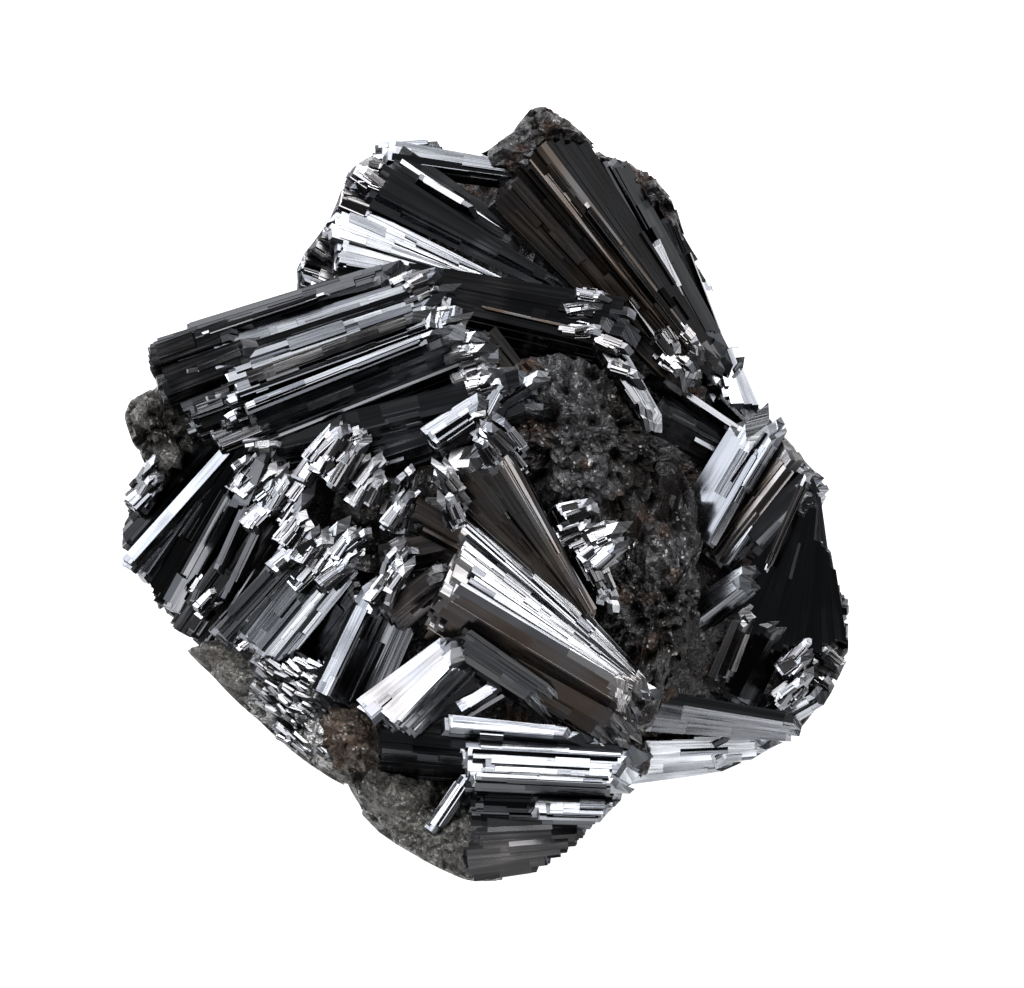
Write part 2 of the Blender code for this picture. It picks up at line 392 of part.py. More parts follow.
def add_bundle(mesh, name, bundle, root_run, tip_run, ragged):
    """Adds a bundle as a few overlapping prisms that end unevenly and stand out unevenly."""
    chance = random.Random(name)
    left_cuts, right_cuts = cuts(max(bundle.left_widths)), cuts(max(bundle.right_widths))
    for i, left_start in enumerate(left_cuts[:-1]):
        for j, right_start in enumerate(right_cuts[:-1]):
            left_size = left_cuts[i + 1] - left_start
            right_size = right_cuts[j + 1] - right_start
            left_end = min(1.0, left_cuts[i + 1] + PRISM_OVERLAP * left_size)
            right_end = min(1.0, right_cuts[j + 1] + PRISM_OVERLAP * right_size)
            left_middle, right_middle = left_start + left_size / 2, right_start + right_size / 2
            start = -(root_run[0] * left_middle + root_run[1] * right_middle)
            stop = bundle.length + tip_run[0] * left_middle + tip_run[1] * right_middle
            start += ragged[0] * chance.uniform(-1, 1)
            stop += ragged[1] * chance.uniform(-1, 1)
            lift = [FACET_STEP * chance.random() if share == 0 else 0.0 for share in (right_start, left_start)]
            add_prism(mesh, bundle, (left_start, left_end), (right_start, right_end), lift, (start, stop))


def add_chips(mesh):
    """Adds the small stepped crystals, scattered over their fields."""
    for field, (centre, half, count, azimuth, lean, size) in enumerate(CHIP_FIELDS):
        chance = random.Random(f"chips {field}")
        for k in range(count):
            shift = (chance.uniform(-half[0], half[0]), chance.uniform(-half[1], half[1]),
                     chance.uniform(*CHIP_LEVEL))
            turn = math.radians(azimuth + chance.uniform(-CHIP_TURN, CHIP_TURN))
            along = Vector((math.cos(turn), math.sin(turn), chance.uniform(0, CHIP_RISE)))
            half_length = along * (size * chance.uniform(*CHIP_LENGTH) / 2)
            middle = Vector(centre) + Vector(shift)
            widths = [size * chance.uniform(*CHIP_WIDTH) for _ in range(2)]
            pairs = [(width, width * CHIP_TAPER) for width in widths]
            bundle = bundle_between(middle - half_length, middle + half_length, lean, CHIP_SPREAD, *pairs)
            add_bundle(mesh, f"chip_{field}_{k}", bundle, (CHIP_RUN, CHIP_RUN), (CHIP_RUN, CHIP_RUN),
                       (CHIP_RAGGED, CHIP_RAGGED))


def add_flanks(mesh):
    """Adds the sheaves on the sides, at even turns around the back and otherwise uneven."""
    chance = random.Random("flanks")
    for k in range(FLANKS):
        angle = math.tau * (k + chance.uniform(-0.3, 0.3)) / FLANKS
        swung = angle + chance.uniform(-FLANK_SWING, FLANK_SWING)
        ends = []
        for turned, share, level in zip((angle, swung), FLANK_REACH, FLANK_LEVEL):
            radius = outline_radius(OUTLINE, turned) * share
            ends.append(Vector((math.cos(turned) * radius, math.sin(turned) * radius, level)))
        ends[1].z += chance.uniform(-FLANK_UNEVEN, FLANK_UNEVEN)
        left, right = chance.uniform(*FLANK_WIDTH), chance.uniform(*FLANK_WIDTH)
        lean = 180 + FLANK_SPREAD / 2 + chance.uniform(-FLANK_TURN, FLANK_TURN)
        bundle = bundle_between(*ends, lean, FLANK_SPREAD, (left, left), (right, right))
        add_bundle(mesh, f"flank_{k}", bundle, (0, 0), (FLANK_TIP_RUN, FLANK_TIP_RUN), FLANK_RAGGED)


def roughened(point, outward):
    """The point moved in or out by the granular parts' lumps, bosses and pits."""
    coarse = noise.noise(point / ROUGH_COARSE[0]) * ROUGH_COARSE[1]
    nearest = noise.voronoi(point / ROUGH_FINE[0])[0][0]
    return point + outward * (coarse + (BOSS_SHARE - nearest) * ROUGH_FINE[1])


def add_mass(mesh, outline, bottom, top, subdivisions):
    """Adds a granular mass: a sphere of even triangles pressed into a drum of this outline."""
    centre = Vector((sum(x for x, _ in outline), sum(y for _, y in outline), 0)) / len(outline)
    around_centre = [(x - centre.x, y - centre.y) for x, y in outline]
    made = bmesh.ops.create_icosphere(mesh, subdivisions=subdivisions, radius=1)
    for vertex in made["verts"]:
        outward = vertex.co.normalized()
        flat = math.hypot(outward.x, outward.y)
        share, rise = flat / max(flat, abs(outward.z)), outward.z / max(flat, abs(outward.z))
        level = (bottom + top) / 2 + rise * (top - bottom) / 2 - MASS_RIM_DROP * share ** 3
        angle = math.atan2(outward.y, outward.x)
        radius = outline_radius(around_centre, angle) * share
        point = centre + Vector((math.cos(angle) * radius, math.sin(angle) * radius, level))
        vertex.co = held_in(roughened(point, outward)) * MM


def add_base(mesh):
    """Adds the granular base: rings of the outline from the bottom up, closed at both ends."""
    rows = []
    for level, share in BASE_RINGS:
        row = []
        for k in range(BASE_POINTS):
            angle = math.tau * k / BASE_POINTS
            across = Vector((math.cos(angle), math.sin(angle), 0))
            point = across * outline_radius(OUTLINE, angle) * share + Vector((0, 0, level))
            row.append(mesh.verts.new(held_in(roughened(point, across)) * MM))
        rows.append(row)
    faces = [mesh.faces.new(rows[0][::-1]), mesh.faces.new(rows[-1])]
    for lower, upper in zip(rows, rows[1:]):
        for k in range(BASE_POINTS):
            after = (k + 1) % BASE_POINTS
            faces.append(mesh.faces.new((lower[k], lower[after], upper[after], upper[k])))
    bmesh.ops.recalc_face_normals(mesh, faces=faces)


def new_object(name, mesh):
    """Makes an object of a bmesh and links it to the scene."""
    data = bpy.data.meshes.new(name)
    mesh.to_mesh(data)
    mesh.free()
    made = bpy.data.objects.new(name, data)
    bpy.context.scene.collection.objects.link(made)
    return made


def manganite_material():
    """Iron black to dark steel grey, with a submetallic lustre."""
    material = bpy.data.materials.new("manganite")
    material.use_nodes = True
    shader = material.node_tree.nodes["Principled BSDF"]
    shader.inputs["Base Color"].default_value = (0.10, 0.10, 0.105, 1)
    shader.inputs["Metallic"].default_value = 0.9
    shader.inputs["Roughness"].default_value = 0.3
    return material


def combine(solid, other, operation):
    """Applies a Boolean of the solid with the other object, which is then removed."""
    step = solid.modifiers.new("combine", "BOOLEAN")
    step.operation = operation
    step.solver = "EXACT"
    step.use_self = operation == "UNION"
    step.object = other
    bpy.context.view_layer.update()
    made = bpy.data.meshes.new_from_object(solid.evaluated_get(bpy.context.evaluated_depsgraph_get()))
    solid.modifiers.clear()
    solid.data = made
    bpy.data.objects.remove(other)


def islands(mesh):
    """The mesh's faces in connected groups, largest first."""
    groups, seen = [], set()
    for start in mesh.faces:
        if start in seen:
            continue
        seen.add(start)
        group = [start]
        for face in group:
            for edge in face.edges:
                fresh = [other for other in edge.link_faces if other not in seen]
                seen.update(fresh)
                group.extend(fresh)
        groups.append(group)
    return sorted(groups, key=len, reverse=True)


def clean_joints(solid):
    """Closes hairline gaps at the joints, and fills the tiny hollows left between grown-together prisms."""
    mesh = bmesh.new()
    mesh.from_mesh(solid.data)
    bmesh.ops.remove_doubles(mesh, verts=mesh.verts, dist=JOINT_GAP * MM)
    hollows = [face for group in islands(mesh)[1:] for face in group]
    bmesh.ops.delete(mesh, geom=hollows, context="FACES")
    bmesh.ops.delete(mesh, geom=[edge for edge in mesh.edges if not edge.link_faces], context="EDGES")
    mesh.to_mesh(solid.data)
    mesh.free()


def trimming_block():
    """A block whose top is the plane of the flat back."""
    block = bmesh.new()
    bmesh.ops.create_cube(block, size=1)
    bmesh.ops.scale(block, verts=block.verts, vec=Vector((TRIM_WIDTH, TRIM_WIDTH, TRIM_DEPTH)) * MM)
    bmesh.ops.translate(block, verts=block.verts, vec=Vector((0, 0, -TRIM_DEPTH / 2)) * MM)
    return new_object("trim", block)


def main():
    for old in list(bpy.data.objects):
        bpy.data.objects.remove(old)
    granular = bmesh.new()
    add_base(granular)
    for outline, bottom, top, subdivisions in MASSES:
        add_mass(granular, outline, bottom, top, subdivisions)
    flanks = bmesh.new()
    add_flanks(flanks)
    crystals = bmesh.new()
    for sheaf in SHEAVES:
        add_bundle(crystals, sheaf.name, sheaf_bundle(sheaf), sheaf.root_run, sheaf.tip_run, sheaf.ragged)
    add_chips(crystals)
    cluster = new_object(NODE_NAME, granular)
    combine(cluster, new_object("flanks", flanks), "UNION")
    combine(cluster, trimming_block(), "DIFFERENCE")
    combine(cluster, new_object("crystals", crystals), "UNION")
    clean_joints(cluster)
    cluster.data.materials.clear()
    cluster.data.materials.append(manganite_material())


main()
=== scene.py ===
"""Manganite specimen: the fine surface, materials, light and camera.

Tables are in millimetres, in the specimen's own frame: the origin is the middle of the flat back that
it lies on, and Z points up through the crystal side. Meshes are made in metres.
"""

import bisect
import math
import random
from collections import namedtuple

import bmesh
import bpy
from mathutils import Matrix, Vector, noise


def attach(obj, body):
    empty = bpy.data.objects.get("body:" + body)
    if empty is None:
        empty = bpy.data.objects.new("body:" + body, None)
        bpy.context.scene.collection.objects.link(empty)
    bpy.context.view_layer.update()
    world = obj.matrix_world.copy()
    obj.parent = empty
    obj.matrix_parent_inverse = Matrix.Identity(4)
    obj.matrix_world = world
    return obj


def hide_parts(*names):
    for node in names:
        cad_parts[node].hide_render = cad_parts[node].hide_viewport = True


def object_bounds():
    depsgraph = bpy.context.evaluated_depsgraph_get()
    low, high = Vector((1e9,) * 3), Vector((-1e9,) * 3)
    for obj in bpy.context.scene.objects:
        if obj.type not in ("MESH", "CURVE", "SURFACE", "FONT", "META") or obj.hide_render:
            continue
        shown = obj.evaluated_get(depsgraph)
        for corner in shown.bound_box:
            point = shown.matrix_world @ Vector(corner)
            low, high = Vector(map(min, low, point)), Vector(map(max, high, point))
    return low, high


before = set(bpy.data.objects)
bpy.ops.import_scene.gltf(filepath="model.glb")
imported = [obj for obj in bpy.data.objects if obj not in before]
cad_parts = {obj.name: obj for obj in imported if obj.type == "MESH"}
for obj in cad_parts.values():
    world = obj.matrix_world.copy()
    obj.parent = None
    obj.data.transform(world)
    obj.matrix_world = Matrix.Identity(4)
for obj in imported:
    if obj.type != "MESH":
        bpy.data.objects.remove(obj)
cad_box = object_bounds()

MM = 0.001
NODE = "manganite_cluster"

Bundle = namedtuple("Bundle", "root length along axis_left facets")
Facet = namedtuple("Facet", "run down normal widths width other_width grain_scale")
# A look's last value is painted light and shade: brightness of the left and right facets and the end faces
Look = namedtuple("Look", "brown calm shine")
Sheaf = namedtuple("Sheaf", "name root tip left right lean spread root_run tip_run ragged brown calm shine")

# Fine structure of the sheaves. How smooth a facet is goes from 0 to 1 and is called its calm
CELL_WIDTHS = (0.35, 0.95)  # prisms that fill a sheaf and show at its ends
CUT_SKEW = 1.8  # above 1, so narrow strips are more common than wide ones
CELL_TILT = 0.12  # how far a corner of an end face may lie from its plane, along the ridge
END_WAVES = ((1.1, 1.0), (0.45, 0.5))  # sizes and heights of the waves that stepped ends follow
WAVE_SEEDS = 100  # each sheaf takes its own place in the waves' noise
WAVE_SHARE = 1.1  # part of the waves in how uneven the ends are
CHANCE_SHARE = 0.35  # part of chance in it
TERRACE = 0.35  # how much further out the tip's lower steps reach
MOST_TERRACE = 0.8
TIP_ANGLES = (20, 48)  # how far from straight up the small faces at the tips point, in degrees
LEAST_TIP_ANGLE = 0.3  # in radians
ROOT_SLOPE = 0.3  # how far a root's end runs on for each unit of depth
TOP_SLOPE = 0.1  # the depth that counts for the outer edge of a rib's end
RIB_WIDTHS = (0.10, 0.46)  # ribs of the striated facets
RIB_DEPTH = 0.7  # how far ribs and plates go into the sheaf
RIB_LIFT = 0.13  # how far one rib may stand out from the next
RIB_STEPS = (0, 0, 0.03, 0.06, 0.1)  # how much further out one length of a rib may stand
RIB_TILTS = ((0, 0.56), (9, 0.1), (-9, 0.1), (22, 0.08), (-22, 0.08), (38, 0.04), (-38, 0.04))
RIB_TURN = 3  # small extra tilt of each rib, in degrees
RIB_SEGMENT = 4.2  # mean length of a rib between steps
LEAST_SEGMENT = 0.5
RIB_INSET = 0.05  # how far a rib stops inside the ends of the prisms under it
SHORTEST_RIB = 0.3
WIDEST_TILTED = 0.55
PLATE_DENSITY = 0.16  # raised plates for each square millimetre of facet
PLATE_WIDTH = (0.25, 1.1)
PLATE_LENGTH = (0.8, 4.5)
PLATE_LIFT = (0.08, 0.34)
PLATE_TURN = 5  # degrees
PLATE_OVERHANG = 0.3  # how far behind the root a plate may start
PLATE_HELD = 0.6  # share of a plate's length that has to lie on the ridge
LEAST_PLATE_ROOM = 0.1
SHORTEST_PLATE = 0.5
CALM_WIDTH = 2.6  # how much wider the ribs of a smooth facet are
CALM_LENGTH = 2  # how much longer they are
CALM_FLATNESS = 0.85  # how much less uneven they are
CALM_BARENESS = 0.8  # how many fewer plates are on it
EVEN_SHADE = 0.85  # how even in colour the ribs of a smooth facet are
EVEN_LEVEL = 0.32  # the shade that they come close to
END_BROWN = 0.35  # share of the facets' brown that the end faces have
RIGHT_GRAIN = 0.7  # scale of the striations on right facets
GRAIN_CODES = 50  # each prism takes its own place in the striations' noise
LEAST_TAPER = 0.12  # the narrow end of a facet is at least this share of the wide one
PULL_STEP = 0.12  # an end outside the outline is drawn back in steps of this length
MOST_PULLS = 28
SHORTEST_BLOCK = 0.4
MOST_REACH = 1.01  # share of the outline's radius that a corner may reach
BOX_GAP = 0.01  # how far the surface stays inside the solid's box

# Granular base: the specimen's outline from above, then level and share of it from under to top
OUTLINE = (
    (22.6, 0.1), (22.3, 0.9), (21.1, 1.8), (20, 3.5), (19.5, 4.8), (18.3, 6.3), (17.1, 7.5), (17.3, 8.5),
    (15.8, 11.5), (13.3, 16.5), (12.8, 17.8), (12.3, 19.7), (10.7, 21.5), (9.5, 22.1), (8.1, 22.5),
    (6.8, 23.6), (4.9, 25.3), (3.6, 25.9), (2.8, 25.6), (1.6, 24), (-0.1, 22.8), (-3.2, 23.3),
    (-5.2, 23.6), (-7.5, 23.5), (-7.7, 22.3), (-9.2, 21.3), (-10.2, 18.5), (-11.3, 16.8), (-12.2, 15.8),
    (-12.7, 14.7), (-12.5, 12.8), (-15.9, 12), (-21.4, 10.5), (-22.5, 9.8), (-22.5, 8.8), (-22, 7.1),
    (-23.9, 6.1), (-24.3, 5.1), (-23.9, 3.8), (-22.8, 1.5), (-24.2, -0.1), (-24, -1.5), (-24.7, -2.5),
    (-24.9, -3.7), (-24, -5.2), (-22.5, -6.2), (-22, -8.9), (-20.2, -10.5), (-18.4, -12.2),
    (-15.3, -15.2), (-13.5, -16.9), (-9.7, -19.5), (-8.5, -21.5), (-7.3, -22.7), (-4.7, -24.3),
    (-1.7, -25.8), (0.1, -26.1), (1.5, -26.1), (3.8, -24.9), (6.3, -22.9), (7.8, -21.2), (9.1, -19.9),
    (12.1, -19.6), (16.1, -18.4), (19.5, -17), (20.8, -16.1), (22.7, -13.5), (23.7, -11.4), (24.8, -10.4),
    (25, -9.7), (24.6, -7.9), (23.1, -4.9), (21.8, -2.2), (22, -1.3),
)
BASE_POINTS = 420
BASE_ROWS = 110
BASE_RINGS = (
    (0, 0), (0, 0.64), (0.6, 0.68), (2.6, 0.77), (6, 0.86), (9.5, 0.92), (12.5, 0.92), (15, 0.85),
    (17, 0.7), (18.5, 0.45), (18.8, 0),
)

# Granular masses: outline, bottom, top and how often the triangles are divided
MASS_RIM_DROP = 1.6  # how much lower a mass is at its rim
MASSES = {
    "granular_ridge": (
        (((2.1, 8.7), (4.8, 8.8), (7.5, 8.1), (9.1, 6.8), (10.5, 4.1), (11.5, 2.1), (10.1, -0.5), (7.5, -2.5),
          (4.8, -1.5), (2.8, 1.5), (1.8, 3.5), (1.8, 6.1)), 8, 24.2, 6),
        (((8.8, 2.8), (12.8, 1.5), (14.1, -1.2), (14.5, -3.2), (13.5, -5.2), (14.1, -7.9), (13.5, -10.5),
          (11.8, -12.5), (11.1, -15.2), (9.1, -16.2), (9.5, -13.9), (10.1, -11.2), (7.5, -7.9), (7.8, -3.5)),
         8, 22.4, 6),
    ),
    "granular_skirt": (
        (((-19.9, -10.7), (-17.2, -9.9), (-13.2, -10.9), (-10.5, -12.5), (-7.6, -13.8), (-6.2, -15.6),
          (-6.6, -17.6), (-9.7, -19.5), (-13.5, -16.9), (-17.1, -13.5)), 5, 21.4, 6),
        (((-9.5, -16.5), (-6.5, -17.5), (-3.4, -18.8), (-0.2, -19.8), (1.2, -21.6), (1.2, -23.8),
          (0.8, -25.9), (-1.7, -25.8), (-4.7, -24.3), (-7.3, -22.7), (-8.9, -20.5)), 4, 21, 6),
    ),
    "weathered_patch": (
        (((-24.3, 5.1), (-23.9, 6.1), (-22, 7.1), (-19, 7), (-18.6, 3.5), (-21, 1), (-23.2, 2.4)),
         9, 22, 5),
    ),
    "granular_patches": (
        (((-0.1, 22.8), (1.6, 24), (2.8, 25.6), (3.6, 25.9), (4.9, 25.3), (6.8, 23.6), (5.8, 22.1),
          (3.5, 21.1), (1.1, 21.5)), 8, 19, 5),
        (((7.5, 22.8), (9.5, 22.1), (10.7, 21.5), (12.3, 19.7), (13.1, 16.8), (11.5, 17.5), (9.1, 19.1)),
         4, 14.6, 5),
        (((20.8, -10.9), (24.8, -9.9), (23.7, -11.4), (22.7, -13.5), (20.8, -16.1),
          (18.8, -13.9)), 4, 14.4, 5),
        (((-9, 1), (-2, 1.5), (1, -3), (-1, -8.5), (-7, -9.5), (-10.5, -5)), 12, 22.8, 5),
        (((-23.6, 3.4), (-20, 4), (-17.6, -2), (-19.5, -9), (-22, -7.5), (-23.6, -3)), 6, 17, 5),
        (((13.2, -5.6), (18, -6.5), (19, -12), (16.5, -14.5), (13, -14.5), (12.2, -9.5)), 6, 16.2, 5),
        (((-6.5, -2.5), (-2, 0.5), (1.5, 0.5), (4.5, -4), (0.5, -6), (-4.5, -5.5)), 12, 23.4, 5),
    ),
    "brown_granules": (
        (((-10.9, -14.2), (-9.2, -13.7), (-6.9, -14.7), (-5.9, -16.2), (-6.9, -18), (-9.2, -18.2),
          (-10.5, -16.5)), 12, 23.6, 5),
        (((9, -16), (11.2, -16.4), (11, -18.6), (9, -19.4)), 8, 15.4, 5),
    ),
    "silvery_granules": (
        (((-16.2, -13.3), (-15.1, -11.6), (-12.5, -10.7), (-10.9, -11.5), (-9.6, -13.9), (-9.6, -16.5),
          (-10.6, -18.2), (-12.5, -17.5), (-14.5, -15.9)), 8, 22.5, 6),
    ),
}
PITTED = {"silvery_granules": 0.3, "granular_skirt": 0.3, "brown_granules": 0.3}  # share of the pits' depth
ROUGH = ((5.0, 1.0), (2.4, 0.7), (0.8, 0.34), (0.32, 0.19))  # sizes and heights of lumps, down to grains
BOSSES = ((1.5, 0.4), (0.65, 0.36), (0.3, 0.2))  # sizes and heights of bosses, with pits between
BOSS_SHARE = 0.45
PIT_SHIFT = Vector((31, 7, 3))
PITS = ((1.5, 2.2, 0.18), (0.7, 1.3, 0.15))  # size, depth and how far above even the pits' noise starts

# Crystals on the flanks
FLANKS = 21
FLANK_SHIFT = 0.3  # how far one may stand from its even place, as a share of the step to the next
FLANK_REACH = (0.58, 0.95)  # share of the outline's radius, at root and tip
FLANK_LEVEL = (-1.5, 10.5)  # height of root and tip
FLANK_WIDTH = (2.2, 4.4)
FLANK_UNEVEN = 2.5  # how far a tip may lie above or below its level
FLANK_SWING = 0.16  # how far a tip may turn to a side around the middle, in radians
FLANK_SPREAD = 78
FLANK_TURN = 20  # degrees
FLANK_RUNS = ((0, 0), (0.5, 0.5))
FLANK_RAGGED = (0.2, 1.2)
FLANK_PLATES = 0.05
FLANK_LOOK = Look(brown=(0.2, 0.2), calm=(0.4, 0.4), shine=(0.8, 0.8, 0.9))

# Small crystals of the broken ends, whose fields are in CHIP_FIELDS
CHIP_LEVEL = (-0.7, 0.3)  # how far one may lie from its field's level
CHIP_TURN = 14  # degrees
CHIP_RISE = 0.14  # how much one may climb for each unit of length
CHIP_LENGTH = (0.7, 1.6)  # shares of the field's size
CHIP_WIDTH = (0.4, 1.0)
CHIP_LEAN = 5  # degrees
CHIP_TAPER = 0.85
CHIP_SPREAD = 76
CHIP_RUNS = ((0.2, 0.2), (0.1, 0.1))
CHIP_RAGGED = (0.15, 0.15)
CHIP_LOOK = Look(brown=(0.25, 0.25), calm=(0.2, 0.2), shine=(1.4, 0.95, 1.5))

# Colours. A pair is the darkest and the lightest grain or rib
STEEL = ((0.058, 0.062, 0.073), (0.250, 0.259, 0.278))
RUST = ((0.075, 0.056, 0.045), (0.210, 0.165, 0.135))
GRANULAR_GREY = ((0.018, 0.018, 0.020), (0.085, 0.085, 0.090))
GRANULAR_RED = ((0.030, 0.014, 0.008), (0.085, 0.042, 0.024))
# near-black painted shade, mixed into the pits and hollows of the granular surface
PAINTED_PIT_SHADE = (0.008, 0.006, 0.005)
GLINT = (0.40, 0.40, 0.39)
GRAINS_PER_METRE = 6000.0
WEATHERED_FROM = (0.016, 0.021)  # metres above the back: below, all granular parts have the same dark grey
GRANULAR_LOOKS = {  # dark and light grains, share of red, metallic, roughness
    "granular_manganite": (*GRANULAR_GREY, 0.75, 0.7, (0.25, 0.62)),
    "grey_manganite": ((0.040, 0.039, 0.036), (0.150, 0.146, 0.138), 0.25, 0.45, (0.25, 0.6)),
    "silvery_manganite": ((0.06, 0.06, 0.065), (0.50, 0.50, 0.50), 0.1, 0.6, (0.20, 0.45)),
    "brown_manganite": ((0.018, 0.013, 0.010), (0.090, 0.065, 0.050), 0.6, 0.4, (0.3, 0.6)),
}
MASS_LOOKS = {
    "silvery_granules": "silvery_manganite",
    "granular_skirt": "grey_manganite",
    "weathered_patch": "grey_manganite",
    "brown_granules": "brown_manganite",
}

# Studio: a pale floor, and soft boxes as azimuth, zenith angle, width, height, radiance, colour
FLOOR_SIZE = 3.0
FLOOR_LEVEL = -0.0001
FLOOR_COLOUR = (0.6, 0.6, 0.6, 1)
FLOOR_GLOW = 0.95  # burns the floor out to white as in the photo, and keeps the specimen's shadow faint
LIGHT_DISTANCE = 0.7
SOFT_BOXES = (
    (142, 50, 0.38, 0.24, 8.5, (0.96, 0.98, 1.0)),
    (104, 50, 0.38, 0.24, 8.5, (1.0, 1.0, 1.0)),
    (66, 54, 0.38, 0.24, 8.0, (1.0, 0.98, 0.95)),
    (185, 58, 0.34, 0.30, 1.6, (0.96, 0.98, 1.0)),
    (8, 61, 0.44, 0.26, 3.2, (0.98, 0.99, 1.0)),
    (-130, 60, 0.34, 0.30, 0.5, (1.0, 0.97, 0.93)),
    (-72, 54, 0.36, 0.20, 4.5, (1.0, 0.99, 0.97)),
)
WORLD_LIGHT = 0.12
CAMERA_DISTANCE = 0.9
SENSOR_WIDTH = 36.0
CLIP_RANGE = (0.01, 10.0)
PIXELS_PER_MM = 15.0
IMAGE_WIDTH = 1024
PHOTO_CENTRE = (488, 492)  # pixel over the specimen's origin
IMAGE_CENTRE = (512, 494)
FOCUS_LEVEL = 20.0


def pair(value):
    """Two values, from one number for both or from two."""
    return value if isinstance(value, tuple) else (value, value)


def sheaf(name, root, tip, left, right, lean, spread,
          root_run=0.4, tip_run=0.4, ragged=0.5, brown=0, calm=0.3, shine=(1, 1, 1)):
    """One sheaf: a ridge from root to tip with a facet on each side, which stepped prisms fill.

    left, right: widths of the facets as seen from above, at root and tip
    lean, spread: the left facet's turn from level and the turn from it to the right facet, in degrees
    root_run, tip_run: how far the ends run on at the far edge of the left and right facet
    ragged: how uneven the root and the tip are
    brown, calm: how tarnished and how smooth the left and right facet are
    shine: painted light and shade, the brightness of the left facet, the right facet and the end faces
    """
    return Sheaf(name, root, tip, pair(left), pair(right), lean, spread, pair(root_run), pair(tip_run),
                 pair(ragged), pair(brown), pair(calm), shine)


